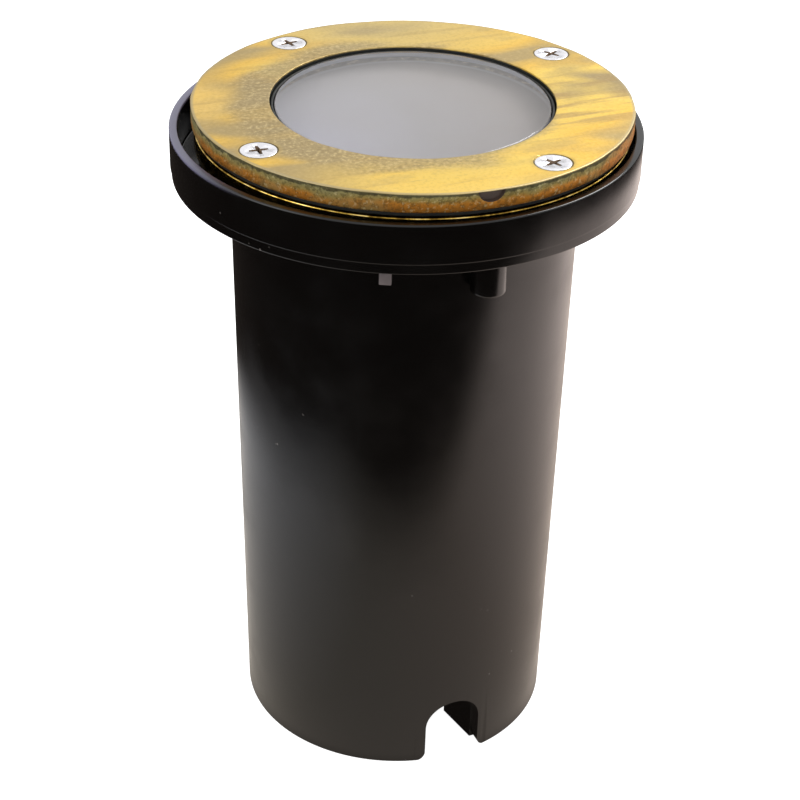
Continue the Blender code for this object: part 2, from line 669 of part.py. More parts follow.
def make_bracket(finish, insert):
    base = FLOOR_TOP + PAD_HEIGHT + GAP
    top = PIVOT_Z + ARM_ABOVE_PIVOT
    bend = base + STRAP_THICKNESS
    path = [(-ARM_INNER, top), (-ARM_INNER, bend), (ARM_INNER, bend), (ARM_INNER, top)]
    bm = bmesh.new()
    edges = (-STRAP_WIDTH / 2, STRAP_WIDTH / 2)
    rows = [[bm.verts.new((x, y, z)) for y in edges] for x, z in path]
    for here, there in zip(rows, rows[1:]):
        bm.faces.new((here[0], here[1], there[1], there[0]))
    mesh = bpy.data.meshes.new("gimbal_bracket")
    bm.to_mesh(mesh)
    bm.free()
    bracket = add_object("gimbal_bracket", mesh, finish["stainless"], insert)
    thicken = bracket.modifiers.new("thickness", "SOLIDIFY")
    thicken.thickness = STRAP_THICKNESS
    thicken.offset = 1
    thicken.use_even_offset = True
    for number, side in ((1, -1), (2, 1)):
        hole = cylinder(f"arm_hole_{number}", PIVOT_SHANK + GAP, ARM_INNER - MM, ARM_OUTER + MM,
                        parent=insert)
        hole.rotation_euler.y = side * math.pi / 2
        hole.location = (side * (ARM_INNER + ARM_OUTER) / 2, 0, PIVOT_Z)
        cut(bracket, hole)
        x = side * BRACKET_PAD_X
        hole = cylinder(f"bracket_hole_{number}", SMALL_SHANK + GAP, base - MM, bend + MM, x, 0,
                        parent=insert, facets=WIRE)
        cut(bracket, hole)
        small_screw(f"bracket_screw_{number}", x, 0, bend, finish["stainless"], insert)


def make_terminal_block(finish, insert):
    base = FLOOR_TOP + PAD_HEIGHT + GAP
    top = base + BLOCK_SIZE.z
    seat = base + BLOCK_WEB
    center = (0, BLOCK_OFFSET, (base + top) / 2)
    block = box("terminal_block", BLOCK_SIZE, center, finish["white_plastic"], insert)

    def bore(name, radius, bottom, x):
        cut(block, cylinder(name, radius, bottom, top + MM, x, BLOCK_OFFSET, parent=insert, facets=WIRE))

    bore("mount_hole", SMALL_SHANK + GAP, base - MM, 0)
    bore("mount_recess", SMALL_HEAD + GAP, seat, 0)
    small_screw("terminal_mount_screw", 0, BLOCK_OFFSET, seat, finish["stainless"], insert)
    for number, x in ((1, -TERMINAL_X), (2, TERMINAL_X)):
        bore(f"terminal_well_{number}", SMALL_SHANK + GAP, top - SMALL_LENGTH - GAP, x)
        small_screw(f"terminal_screw_{number}", x, BLOCK_OFFSET, top, finish["bright_brass"], insert)


def bezier(points, count):
    """Points along the cubic curve with these four handles."""
    a, b, c, d = points
    made = []
    for i in range(count + 1):
        t = i / count
        s = 1 - t
        made.append(a * s ** 3 + b * (3 * s * s * t) + c * (3 * s * t * t) + d * t ** 3)
    return made


def make_leads(finish, insert):
    """The two wires from the terminal block up to the lamp socket."""
    start_z = FLOOR_TOP + PAD_HEIGHT + BLOCK_SIZE.z + 2 * GAP
    end_z = SOCKET_BOTTOM - GAP
    reach = (end_z - start_z) * 0.9
    front = BLOCK_OFFSET - BLOCK_SIZE.y / 4
    for number, side, wire in ((1, -1, "red_wire"), (2, 1, "black_wire")):
        start = Vector((side * LEAD_SPACING / 2, front, start_z))
        end = Vector((side * PIN_SPACING / 2, 0, end_z))
        curve = bpy.data.curves.new(f"lead_{number}", "CURVE")
        curve.dimensions = "3D"
        curve.bevel_depth = LEAD_RADIUS
        curve.bevel_resolution = 2
        curve.use_fill_caps = True
        route = bezier((start, start + Vector((0, 0, reach)), end - Vector((0, 0, reach)), end), 14)
        spline = curve.splines.new("POLY")
        spline.points.add(len(route) - 1)
        for point, place in zip(spline.points, route):
            point.co = (*place, 1)
        curve.materials.append(finish[wire])
        lead = bpy.data.objects.new(f"lead_{number}", curve)
        bpy.data.collections[PARTS].objects.link(lead)
        lead.parent = insert


# Lamp and gimbal ring, modelled about the tilt axis

def make_gimbal_ring(finish, pivot):
    ledge = GIMBAL_BORE - GIMBAL_LEDGE
    profile = [(GIMBAL_RADIUS, GIMBAL_ABOVE), (GIMBAL_RADIUS, -GIMBAL_BELOW), (ledge, -GIMBAL_BELOW),
               (ledge, -GAP), (GIMBAL_BORE, -GAP), (GIMBAL_BORE, GIMBAL_ABOVE)]
    ring = turned("gimbal_ring", profile, INSIDE, finish["aluminium"], pivot)
    pin_end = GIMBAL_RADIUS - PIVOT_IN_RING
    head = ARM_OUTER + GAP
    pin = [(0, head + PIVOT_HEAD_HEIGHT), (PIVOT_HEAD, head + PIVOT_HEAD_HEIGHT), (PIVOT_HEAD, head),
           (PIVOT_SHANK, head), (PIVOT_SHANK, pin_end), (0, pin_end)]
    for number, side in ((1, -1), (2, 1)):
        axis = empty(f"pivot_screw_axis_{number}", (0, 0, 0), pivot)
        axis.rotation_euler.y = side * math.pi / 2
        cut(ring, cylinder(f"trunnion_{number}", PIVOT_SHANK + GAP, pin_end - GAP, GIMBAL_RADIUS + MM,
                           parent=axis))
        screw = turned(f"pivot_screw_{number}", pin, SMALL, finish["stainless"], axis, closed=False)
        slot = (1.5 * PIVOT_HEAD, PIVOT_SLOT, PIVOT_HEAD_HEIGHT)
        cut(screw, box(f"pivot_slot_{number}", slot, (0, 0, head + PIVOT_HEAD_HEIGHT), parent=axis))


def reflector_curve(front, back, steps):
    """Radius and height down a parabola from the rim's underside to the back of the lamp."""
    for i in range(steps + 1):
        share = 1 - i / steps
        yield math.sqrt(back ** 2 + (front ** 2 - back ** 2) * share), -LAMP_DEPTH * (1 - share)


def make_lamp(finish, pivot):
    lens_seat = LAMP_RIM - LAMP_LENS_THICKNESS - GAP
    shell_front = GIMBAL_BORE - GIMBAL_LEDGE - GAP
    outer = list(reflector_curve(shell_front, LAMP_NECK_RADIUS, 6))
    inner = [(r - LAMP_WALL, z + (LAMP_WALL if z < -LAMP_DEPTH / 2 else 0)) for r, z in outer]
    lens_radius = shell_front + GAP
    profile = [(0, inner[-1][1])] + inner[::-1]
    profile += [(inner[0][0], lens_seat), (lens_radius + GAP, lens_seat), (lens_radius + GAP, LAMP_RIM),
                (LAMP_RADIUS, LAMP_RIM), (LAMP_RADIUS, 0)]
    profile += outer + [(0, -LAMP_DEPTH)]
    turned("lamp_shell", profile, INSIDE, finish["aluminium"], pivot, closed=False)
    cylinder("lamp_lens", lens_radius, lens_seat + GAP, LAMP_RIM, finish=finish["lens"], parent=pivot,
             facets=INSIDE)
    board = -LAMP_DEPTH + LAMP_WALL + GAP
    cylinder("lamp_led_board", LED_RADIUS, board, board + LED_THICKNESS, finish=finish["led_board"],
             parent=pivot)

    base_top = -LAMP_DEPTH - GAP
    base_bottom = base_top - BASE_LENGTH
    socket_top = base_bottom - GAP
    base = cylinder("lamp_base", BASE_RADIUS, base_bottom, base_top, finish=finish["white_plastic"],
                    parent=pivot)
    socket = box("lamp_socket", SOCKET_SIZE, (0, 0, socket_top - SOCKET_SIZE.z / 2), finish["ceramic"], pivot)
    for number, x in ((1, -PIN_SPACING / 2), (2, PIN_SPACING / 2)):
        top = base_bottom + PIN_IN_BASE
        bottom = socket_top - PIN_IN_SOCKET
        cylinder(f"lamp_pin_{number}", PIN_RADIUS, bottom, top, x, finish=finish["stainless"], parent=pivot,
                 facets=WIRE)
        hole = (PIN_RADIUS + GAP, bottom - GAP, top + GAP, x)
        cut(base, cylinder(f"base_pin_hole_{number}", *hole, parent=pivot, facets=WIRE))
        cut(socket, cylinder(f"socket_pin_hole_{number}", *hole, parent=pivot, facets=WIRE))


def make_lamp_clip(finish, pivot):
    """The spring ring that lies on the lamp's rim inside the gimbal ring."""
    middle = GIMBAL_BORE - GAP - CLIP_WIRE
    height = LAMP_RIM + GAP + CLIP_WIRE
    section = [(middle + r, height + z) for r, z in arc(0, 0, CLIP_WIRE, 60, -240, 5)]
    turned("lamp_clip", section, INSIDE, finish["stainless"], pivot)


def main():
    clear_scene()
    collection(PARTS)
    collection(CUTTERS)
    finish = make_materials()
    make_sleeve(finish)

    shift = Vector((math.cos(INSERT_SHIFT_ANGLE), math.sin(INSERT_SHIFT_ANGLE), 0)) * INSERT_SHIFT
    insert = empty("insert", shift)
    insert.rotation_euler.z = INSERT_TURN
    make_can(finish, insert)
    make_can_seals(finish, insert)
    make_gland(finish, insert)
    make_bracket(finish, insert)
    make_terminal_block(finish, insert)
    make_leads(finish, insert)
    make_ring(finish, insert)
    make_ring_screws(finish, insert)
    make_lens(finish, insert)

    pivot = empty("lamp_tilt", (0, 0, PIVOT_Z), insert)
    make_gimbal_ring(finish, pivot)
    make_lamp(finish, pivot)
    make_lamp_clip(finish, pivot)


main()
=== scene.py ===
"""Looks of the recessed pond light: a weathered brass ring and glass in a black moulded sleeve."""
import json
import math

import bmesh
import bpy
from mathutils import Matrix, Vector, noise


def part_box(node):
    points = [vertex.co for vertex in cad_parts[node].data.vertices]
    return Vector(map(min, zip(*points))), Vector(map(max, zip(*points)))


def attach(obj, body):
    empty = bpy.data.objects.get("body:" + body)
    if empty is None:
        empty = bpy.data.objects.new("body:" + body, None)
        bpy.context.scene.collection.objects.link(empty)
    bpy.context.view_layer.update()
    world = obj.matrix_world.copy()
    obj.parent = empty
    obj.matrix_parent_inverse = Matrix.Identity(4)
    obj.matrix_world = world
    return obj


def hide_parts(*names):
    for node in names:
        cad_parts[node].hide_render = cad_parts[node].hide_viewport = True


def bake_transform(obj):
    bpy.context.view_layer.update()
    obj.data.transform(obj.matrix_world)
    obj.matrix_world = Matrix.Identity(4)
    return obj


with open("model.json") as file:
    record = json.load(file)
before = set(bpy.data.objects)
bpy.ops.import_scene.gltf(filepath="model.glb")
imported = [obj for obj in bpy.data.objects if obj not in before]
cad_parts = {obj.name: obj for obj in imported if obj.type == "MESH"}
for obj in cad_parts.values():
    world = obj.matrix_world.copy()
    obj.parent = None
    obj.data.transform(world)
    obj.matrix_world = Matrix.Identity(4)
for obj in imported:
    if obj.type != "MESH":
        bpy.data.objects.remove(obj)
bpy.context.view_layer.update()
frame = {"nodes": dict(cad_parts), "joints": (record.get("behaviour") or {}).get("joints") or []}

MM = 0.001
GAP = 0.3 * MM                      # what the CAD leaves between pieces that touch

FINE, ROUND, SMALL = 256, 128, 64   # segments of a full turn


def middle(node):
    low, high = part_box(node)
    return (low + high) / 2


def low(node):
    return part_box(node)[0].z


def high(node):
    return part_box(node)[1].z


def radius(node):
    corner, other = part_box(node)
    return max(other.x - corner.x, other.y - corner.y) / 2


# The insert's own frame: it stands off the sleeve's axis and is turned on it
TILT = next(joint for joint in frame["joints"] if joint["name"] == "lamp_tilt")
PIVOT = Vector(TILT["pos_m"])
TURN = math.atan2(TILT["axis"][1], TILT["axis"][0])
INSERT = Matrix.Translation((PIVOT.x, PIVOT.y, 0)) @ Matrix.Rotation(TURN, 4, "Z")
LAMP = INSERT @ Matrix.Translation((0, 0, PIVOT.z))
SLEEVE = Matrix.Identity(4)

# Heights and radii of the frame
RING_TOP, RING_BOTTOM, RING_RADIUS = high("trim_ring"), low("trim_ring"), radius("trim_ring")
LIP_TOP = 175.2 * MM
CUP_BOTTOM = 162.4 * MM
CUP_RADIUS = radius("ground_sleeve")
CAN_BOTTOM, FLANGE_TOP = low("light_can"), high("light_can")
FLANGE_RADIUS = radius("light_can")
LENS_TOP, LENS_BOTTOM = high("lens_glass"), low("lens_glass")
LENS_FLANGE_RADIUS = radius("lens_glass")
OPENING_RADIUS = LENS_FLANGE_RADIUS - 2.7 * MM
SCREW_PLACES = [middle(f"ring_screw_{i + 1}") for i in range(4)]
SCREW_TURNS = (30, 10, -4, 21.5)    # degrees that each cross is turned
POCKET_TURN = math.radians(-68)     # a half-round pocket in the ring's rim, round the insert's axis
POCKET = INSERT @ Vector((RING_RADIUS * math.cos(POCKET_TURN), RING_RADIUS * math.sin(POCKET_TURN),
                          RING_TOP - GAP))


# Mesh helpers

def rounded(corners, steps=4, closed=True):
    """An outline of (r, z, set-back): a corner with a set-back is rounded over that length."""
    points = []
    count = len(corners)
    for i, (r, z, *extra) in enumerate(corners):
        setback = extra[0] if extra else 0
        if not setback or (not closed and i in (0, count - 1)):
            points.append((r, z))
            continue
        here = Vector((r, z))
        before = Vector(corners[i - 1][:2]) - here
        after = Vector(corners[(i + 1) % count][:2]) - here
        start = here + before.normalized() * min(setback, before.length * 0.49)
        end = here + after.normalized() * min(setback, after.length * 0.49)
        for k in range(steps + 1):
            t = k / steps
            points.append(tuple(start * (1 - t) ** 2 + here * (2 * t * (1 - t)) + end * t * t))
    return points


def object_from(name, bm, sharp=40, where=SLEEVE):
    """Makes the mesh an object whose origin is the row frame's, so that its place is in its points."""
    bmesh.ops.recalc_face_normals(bm, faces=bm.faces)
    mesh = bpy.data.meshes.new(name)
    bm.to_mesh(mesh)
    bm.free()
    mesh.transform(where)
    mesh.shade_smooth()
    mesh.set_sharp_from_angle(angle=math.radians(sharp))
    obj = bpy.data.objects.new(name, mesh)
    bpy.context.scene.collection.objects.link(obj)
    return obj


def turned_mesh(profile, segments, closed=True):
    """A profile of (radius, height) turned about Z; points on the axis become one vertex."""
    bm = bmesh.new()
    loops = []
    for r, z in profile:
        if r < 1e-6:
            loops.append([bm.verts.new((0, 0, z))])
        else:
            angles = (2 * math.pi * k / segments for k in range(segments))
            loops.append([bm.verts.new((r * math.cos(a), r * math.sin(a), z)) for a in angles])
    pairs = list(zip(loops, loops[1:]))
    if closed:
        pairs.append((loops[-1], loops[0]))
    for first, second in pairs:
        for k in range(segments):
            n = (k + 1) % segments
            corners = [first[k % len(first)], first[n % len(first)],
                       second[n % len(second)], second[k % len(second)]]
            face = list(dict.fromkeys(corners))
            if len(face) > 2:
                bm.faces.new(face)
    return bm


def turned(name, corners, segments=ROUND, where=INSERT, closed=True, steps=4, sharp=40):
    return object_from(name, turned_mesh(rounded(corners, steps, closed), segments, closed), sharp, where)


def prism_mesh(outline, bottom, top, shrink=1.0):
    """An outline in X and Y from bottom to top, where its lower end is scaled by shrink."""
    bm = bmesh.new()
    upper = [bm.verts.new((x, y, top)) for x, y in outline]
    lower = [bm.verts.new((x * shrink, y * shrink, bottom)) for x, y in outline]
    bm.faces.new(upper)
    bm.faces.new(lower[::-1])
    count = len(outline)
    for k in range(count):
        n = (k + 1) % count
        bm.faces.new((upper[k], lower[k], lower[n], upper[n]))
    return bm


def cylinder_mesh(r, bottom, top, x=0.0, y=0.0, top_radius=None, segments=SMALL):
    bm = bmesh.new()
    wide = r if top_radius is None else top_radius
    place = Matrix.Translation((x, y, (bottom + top) / 2))
    bmesh.ops.create_cone(bm, cap_ends=True, segments=segments, radius1=r, radius2=wide,
                          depth=top - bottom, matrix=place)
    return bm


def mesh_of(obj):
    """The object's mesh alone: the object goes."""
    bm = bmesh.new()
    bm.from_mesh(obj.data)
    bpy.data.objects.remove(obj, do_unlink=True)
    return bm


def band(outer, inner, bottom, top, soft):
    """The outline of a flat ring with softened corners."""
    return [(outer, top, soft), (outer, bottom, soft), (inner, bottom, soft), (inner, top, soft)]


def box_mesh(size, center):
    bm = bmesh.new()
    place = Matrix.Translation(center) @ Matrix.Diagonal((*size, 1))
    bmesh.ops.create_cube(bm, size=1, matrix=place)
    return bm


def applied(obj):
    """Turns the object's modifiers into its mesh."""
    graph = bpy.context.evaluated_depsgraph_get()
    mesh = bpy.data.meshes.new_from_object(obj.evaluated_get(graph))
    obj.modifiers.clear()
    obj.data = mesh
    return obj


def carve(obj, tools, operation="DIFFERENCE"):
    """Applies every tool, a pair of mesh and place, to the object in one go."""
    helpers = []
    for bm, where in tools:
        helper = object_from("helper", bm, where=where)
        helpers.append(helper)
        modifier = obj.modifiers.new("carve", "BOOLEAN")
        modifier.operation = operation
        modifier.solver = "EXACT"
        modifier.object = helper
    applied(obj)
    for helper in helpers:
        bpy.data.objects.remove(helper, do_unlink=True)
    return obj


def ease(obj, width, segments=2, angle=45, sharp=40):
    """Rounds the edges that are sharper than the angle."""
    modifier = obj.modifiers.new("ease", "BEVEL")
    modifier.width = width
    modifier.segments = segments
    modifier.limit_method = "ANGLE"
    modifier.angle_limit = math.radians(angle)
    modifier.harden_normals = False
    applied(obj)
    obj.data.shade_smooth()
    obj.data.set_sharp_from_angle(angle=math.radians(sharp))
    return obj


def finished(obj, material, body, slot, *nodes):
    """Gives a piece its material, the body that it rides on and the CAD nodes that it stands for."""
    if material is not None:
        obj.data.materials.clear()
        obj.data.materials.append(material)
    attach(obj, body)
    if nodes:
        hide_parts(*nodes)
    return obj


# Material helpers

class Nodes:
    """A material's node tree around its Principled shader, in object coordinates."""

    def __init__(self, name, color, roughness, metallic=0.0, **values):
        self.material = bpy.data.materials.new(name)
        self.material.use_nodes = True
        self.tree = self.material.node_tree
        self.shader = self.tree.nodes["Principled BSDF"]
        self.place = self.tree.nodes.new("ShaderNodeTexCoord").outputs["Object"]
        self.set("Base Color", (*color, 1))
        self.set("Roughness", roughness)
        self.set("Metallic", metallic)
        for socket, value in values.items():
            self.set(socket.replace("_", " ").title().replace("Ior", "IOR"), value)

    def set(self, socket, value):
        if isinstance(value, bpy.types.NodeSocket):
            self.tree.links.new(value, self.shader.inputs[socket])
        else:
            self.shader.inputs[socket].default_value = value

    def link(self, source, socket):
        if isinstance(source, bpy.types.NodeSocket):
            self.tree.links.new(source, socket)
        else:
            socket.default_value = source

    def stretched(self, scale, rotation=(0, 0, 0), location=(0, 0, 0)):
        mapping = self.tree.nodes.new("ShaderNodeMapping")
        mapping.inputs["Scale"].default_value = scale
        mapping.inputs["Rotation"].default_value = rotation
        mapping.inputs["Location"].default_value = location
        self.tree.links.new(self.place, mapping.inputs["Vector"])
        return mapping.outputs["Vector"]

    def noise(self, scale, detail=3.0, rough=0.55, vector=None, distortion=0.0):
        node = self.tree.nodes.new("ShaderNodeTexNoise")
        node.inputs["Scale"].default_value = scale
        node.inputs["Detail"].default_value = detail
        node.inputs["Roughness"].default_value = rough
        node.inputs["Distortion"].default_value = distortion
        self.tree.links.new(vector or self.place, node.inputs["Vector"])
        return node.outputs["Fac"]

    def cells(self, scale, vector=None, feature="F1", output="Distance"):
        node = self.tree.nodes.new("ShaderNodeTexVoronoi")
        node.feature = feature
        node.inputs["Scale"].default_value = scale
        self.tree.links.new(vector or self.place, node.inputs["Vector"])
        return node.outputs[output]

    def axis(self, name):
        node = self.tree.nodes.new("ShaderNodeSeparateXYZ")
        self.tree.links.new(self.place, node.inputs[0])
        return node.outputs[name]

    def math(self, operation, *values):
        node = self.tree.nodes.new("ShaderNodeMath")
        node.operation = operation
        for value, socket in zip(values, node.inputs):
            self.link(value, socket)
        return node.outputs[0]

    def span(self, value, start, end, to_start=0.0, to_end=1.0, smooth=True):
        """Maps value from start..end to to_start..to_end, clamped."""
        node = self.tree.nodes.new("ShaderNodeMapRange")
        node.interpolation_type = "SMOOTHSTEP" if smooth else "LINEAR"
        self.link(value, node.inputs["Value"])
        node.inputs["From Min"].default_value = start
        node.inputs["From Max"].default_value = end
        node.inputs["To Min"].default_value = to_start
        node.inputs["To Max"].default_value = to_end
        return node.outputs["Result"]

    def distance(self, point):
        """Distance from a point, seen from above."""
        node = self.tree.nodes.new("ShaderNodeVectorMath")
        node.operation = "DISTANCE"
        self.tree.links.new(self.stretched((1, 1, 0)), node.inputs[0])
        node.inputs[1].default_value = (point[0], point[1], 0)
        return node.outputs["Value"]

    def colors(self, factor, *stops):
        ramp = self.tree.nodes.new("ShaderNodeValToRGB")
        self.link(factor, ramp.inputs["Fac"])
        elements = ramp.color_ramp.elements
        while len(elements) < len(stops):
            elements.new(0.5)
        for element, (position, color) in zip(elements, stops):
            element.position = position
            element.color = (*color, 1)
        return ramp.outputs["Color"]

    def mix(self, factor, first, second, mode="MIX"):
        node = self.tree.nodes.new("ShaderNodeMix")
        node.data_type = "RGBA"
        node.blend_type = mode
        self.link(factor, node.inputs[0])
        for value, socket in ((first, node.inputs[6]), (second, node.inputs[7])):
            self.link(value if isinstance(value, bpy.types.NodeSocket) else (*value, 1), socket)
        return node.outputs[2]

    def bump(self, height, strength, depth, under=None):
        node = self.tree.nodes.new("ShaderNodeBump")
        self.link(strength, node.inputs["Strength"])
        node.inputs["Distance"].default_value = depth
        self.tree.links.new(height, node.inputs["Height"])
        if under is not None:
            self.tree.links.new(under, node.inputs["Normal"])
        self.tree.links.new(node.outputs["Normal"], self.shader.inputs["Normal"])
        return node.outputs["Normal"]


# Materials

CAMERA_AZIMUTH = math.radians(-23.5)
RIGHT = Vector((math.cos(CAMERA_AZIMUTH), math.sin(CAMERA_AZIMUTH), 0))
AWAY = Vector((-RIGHT.y, RIGHT.x, 0))


def black_plastic():
    """Glossy black moulding: slightly uneven, with dust specks, faint scuffs and a lilac lip at the left that
    is partly scuffing and partly painted reflection.
    """
    black = (0.0012, 0.0010, 0.0009)
    nodes = Nodes("black_plastic", black, 0.2)
    grain = nodes.noise(900, 2)
    waves = nodes.noise(28, 2)
    nodes.set("Roughness", nodes.span(nodes.noise(60, 4), 0.3, 0.75, 0.15, 0.27))
    scuffs = nodes.noise(190, 3, vector=nodes.stretched((1, 1, 0.06), rotation=(0.2, 0.05, 0)))
    scuff = nodes.span(scuffs, 0.74, 0.82)
    specks = nodes.cells(260)
    rare = nodes.span(nodes.noise(34, 1), 0.62, 0.7)
    speck = nodes.math("MULTIPLY", nodes.span(specks, 0.1, 0.05), rare)
    marks = nodes.math("MAXIMUM", nodes.math("MULTIPLY", scuff, 0.5), speck)
    dusty = nodes.mix(nodes.math("MULTIPLY", marks, 0.25), black, (0.35, 0.32, 0.29))
    # The lip's top turns lilac towards the left: partly scuffing, partly painted reflection.
    lip = nodes.span(nodes.axis("Z"), LIP_TOP - 1.0 * MM, LIP_TOP - 0.3 * MM)
    wear_and_reflection = nodes.span(nodes.distance(-RIGHT * 75 * MM), 62 * MM, 30 * MM)
    nodes.set("Base Color", nodes.mix(nodes.math("MULTIPLY", lip, wear_and_reflection), dusty, (0.13, 0.125, 0.19)))
    first = nodes.bump(waves, 0.25, 0.0004)
    nodes.bump(grain, 0.05, 0.00008, first)
    return nodes.material


def cast_brass():
    """Tumbled sand casting: gold with dull patches, fine grain, orange and olive down the rim; a brighter
    front and paler rear that are partly painted reflection, painted shadow under the rim's top edge and
    painted shade on the opening's wall.
    """
    nodes = Nodes("cast_brass", (0.8, 0.53, 0.14), 0.42, 1.0)
    gold, bright = (0.82, 0.53, 0.095), (0.93, 0.66, 0.145)
    dull, pale = (0.46, 0.345, 0.155), (0.46, 0.38, 0.22)
    across = nodes.stretched((1.0, 2.2, 1.0), rotation=(0, 0, -CAMERA_AZIMUTH))
    patches = nodes.noise(15, 2, 0.45, across, 0.5)
    clouds = nodes.noise(38, 3, 0.5, across)
    grain = nodes.noise(1500, 2, 0.6)
    coarse = nodes.noise(1000, 3, 0.65)
    streaks = nodes.noise(100, 3, 0.55, nodes.stretched((0.3, 3.0, 1.0), rotation=(0, 0, -CAMERA_AZIMUTH)))
    top = nodes.colors(patches, (0.40, dull), (0.47, gold), (0.56, bright), (0.66, dull))

    center = Vector((PIVOT.x, PIVOT.y, 0))
    reach = nodes.distance(center)
    front = nodes.span(nodes.distance(center - AWAY * 58 * MM + RIGHT * 8 * MM), 42 * MM, 10 * MM)
    rear = nodes.span(nodes.distance(center + AWAY * 62 * MM - RIGHT * 12 * MM), 50 * MM, 15 * MM)
    left = nodes.span(nodes.distance(center - RIGHT * 56 * MM - AWAY * 6 * MM), 17 * MM, 6 * MM)
    right = nodes.span(nodes.distance(center + RIGHT * 44 * MM + AWAY * 2 * MM), 28 * MM, 8 * MM)
    # Partly painted reflection: the front is brighter gold and the rear paler, besides the casting's own
    # uneven tone.
    top = nodes.mix(nodes.math("MULTIPLY", front, 0.85), top, (0.96, 0.67, 0.14))
    top = nodes.mix(nodes.math("MULTIPLY", rear, 0.6), top, (0.60, 0.47, 0.22))
    top = nodes.mix(nodes.math("MULTIPLY", left, 0.7), top, (0.90, 0.62, 0.17))
    brown = nodes.math("MULTIPLY", right, nodes.span(streaks, 0.46, 0.60))
    top = nodes.mix(nodes.math("MULTIPLY", brown, 0.7), top, (0.47, 0.31, 0.12))
    beside = nodes.distance(center - RIGHT * 6 * MM - AWAY * 3 * MM)
    wander = nodes.math("ADD", beside, nodes.span(clouds, 0.35, 0.65, -3 * MM, 3 * MM, False))
    near_lens = nodes.span(wander, OPENING_RADIUS + 8 * MM, OPENING_RADIUS + 1 * MM, 0.0, 0.75)
    top = nodes.mix(near_lens, top, (0.40, 0.31, 0.165))
    top = nodes.mix(nodes.span(clouds, 0.56, 0.70, 0.0, 0.4), top, dull)
    top = nodes.mix(nodes.span(streaks, 0.54, 0.68, 0.0, 0.30), top, (0.5, 0.34, 0.11))
    rough = nodes.span(near_lens, 0, 0.75, 0.3, 1, False)
    dark_grain = nodes.math("MULTIPLY", nodes.span(coarse, 0.50, 0.64, 0.0, 0.4), rough)
    top = nodes.mix(dark_grain, top, (0.26, 0.19, 0.07))
    pale_grain = nodes.math("MULTIPLY", nodes.span(coarse, 0.47, 0.36, 0.0, 0.3), rough)
    top = nodes.mix(pale_grain, top, (0.95, 0.78, 0.40))
    wear_and_reflection = nodes.span(reach, RING_RADIUS - 1.1 * MM, RING_RADIUS - 0.4 * MM, 0.0, 0.8)
    top = nodes.mix(wear_and_reflection, top, pale)
    for place in SCREW_PLACES:
        apart = nodes.distance(place)
        top = nodes.mix(nodes.span(apart, 6.2 * MM, 4.9 * MM, 0.0, 0.4), top, (0.50, 0.36, 0.12))
        top = nodes.mix(nodes.span(apart, 4.95 * MM, 4.75 * MM, 0.0, 0.9), top, (0.10, 0.07, 0.02))

    height = nodes.axis("Z")
    wobble = nodes.math("ADD", height, nodes.span(nodes.noise(90, 3), 0.3, 0.7, -0.8 * MM, 0.8 * MM, False))
    share = nodes.span(wobble, RING_BOTTOM, RING_TOP, 0.0, 1.0, False)
    rim = nodes.colors(share, (0.05, (0.36, 0.13, 0.012)), (0.38, (0.55, 0.21, 0.02)),
                       (0.6, (0.34, 0.24, 0.06)), (0.85, (0.26, 0.24, 0.10)))
    rusty = nodes.span(nodes.distance(center + RIGHT * 58 * MM - AWAY * 8 * MM), 32 * MM, 14 * MM, 0.0, 0.6)
    rim = nodes.mix(rusty, rim, (0.72, 0.27, 0.07))
    rim = nodes.mix(nodes.span(clouds, 0.48, 0.65, 0.0, 0.5), rim, (0.36, 0.30, 0.11))
    rim_grain = nodes.span(nodes.noise(900, 3, 0.7), 0.46, 0.62, 0.0, 0.5)
    rim = nodes.mix(rim_grain, rim, (0.06, 0.045, 0.012))
    rim = nodes.mix(nodes.span(coarse, 0.44, 0.34, 0.0, 0.4), rim, (0.72, 0.60, 0.30))
    # Painted shadow: a dark jagged band just under the rim's top edge.
    edge_shadow_height = nodes.math("ADD", height, nodes.span(nodes.noise(420, 3), 0.3, 0.7, -0.5 * MM, 0.5 * MM, False))
    chip = nodes.math("MINIMUM", nodes.span(edge_shadow_height, RING_TOP - 1.3 * MM, RING_TOP - 0.9 * MM),
                      nodes.span(height, RING_TOP - 0.1 * MM, RING_TOP - 0.4 * MM))
    rim = nodes.mix(nodes.math("MULTIPLY", chip, 0.75), rim, (0.035, 0.028, 0.012))
    outside = nodes.span(reach, RING_RADIUS - 1.4 * MM, RING_RADIUS - 0.7 * MM)
    on_rim = nodes.math("MULTIPLY", nodes.span(height, RING_TOP - 0.28 * MM, RING_TOP - 0.42 * MM), outside)
    color = nodes.mix(on_rim, top, rim)
    # Painted shade: the opening's inner wall is painted near black and not metallic, in place of its shade
    # and its reflection of the black gasket.
    inner_wall_shade = nodes.math("MULTIPLY", nodes.span(height, RING_TOP - 0.32 * MM, RING_TOP - 0.6 * MM),
                        nodes.span(reach, OPENING_RADIUS + 0.6 * MM, OPENING_RADIUS + 0.3 * MM))
    color = nodes.mix(inner_wall_shade, color, (0.010, 0.012, 0.010))
    nodes.set("Base Color", color)
    metal = nodes.span(on_rim, 0, 1, 1.0, 0.55, False)
    nodes.set("Metallic", nodes.math("MULTIPLY", metal, nodes.span(inner_wall_shade, 0, 1, 1, 0, False)))
    smooth = nodes.span(front, 0, 1, 0.0, -0.08, False)
    nodes.set("Roughness", nodes.math("ADD", nodes.span(patches, 0.35, 0.65, 0.50, 0.36), smooth))
    first = nodes.bump(clouds, 0.3, 0.0005)
    second = nodes.bump(coarse, 0.45, 0.00010, first)
    nodes.bump(grain, 0.4, 0.00006, second)
    return nodes.material


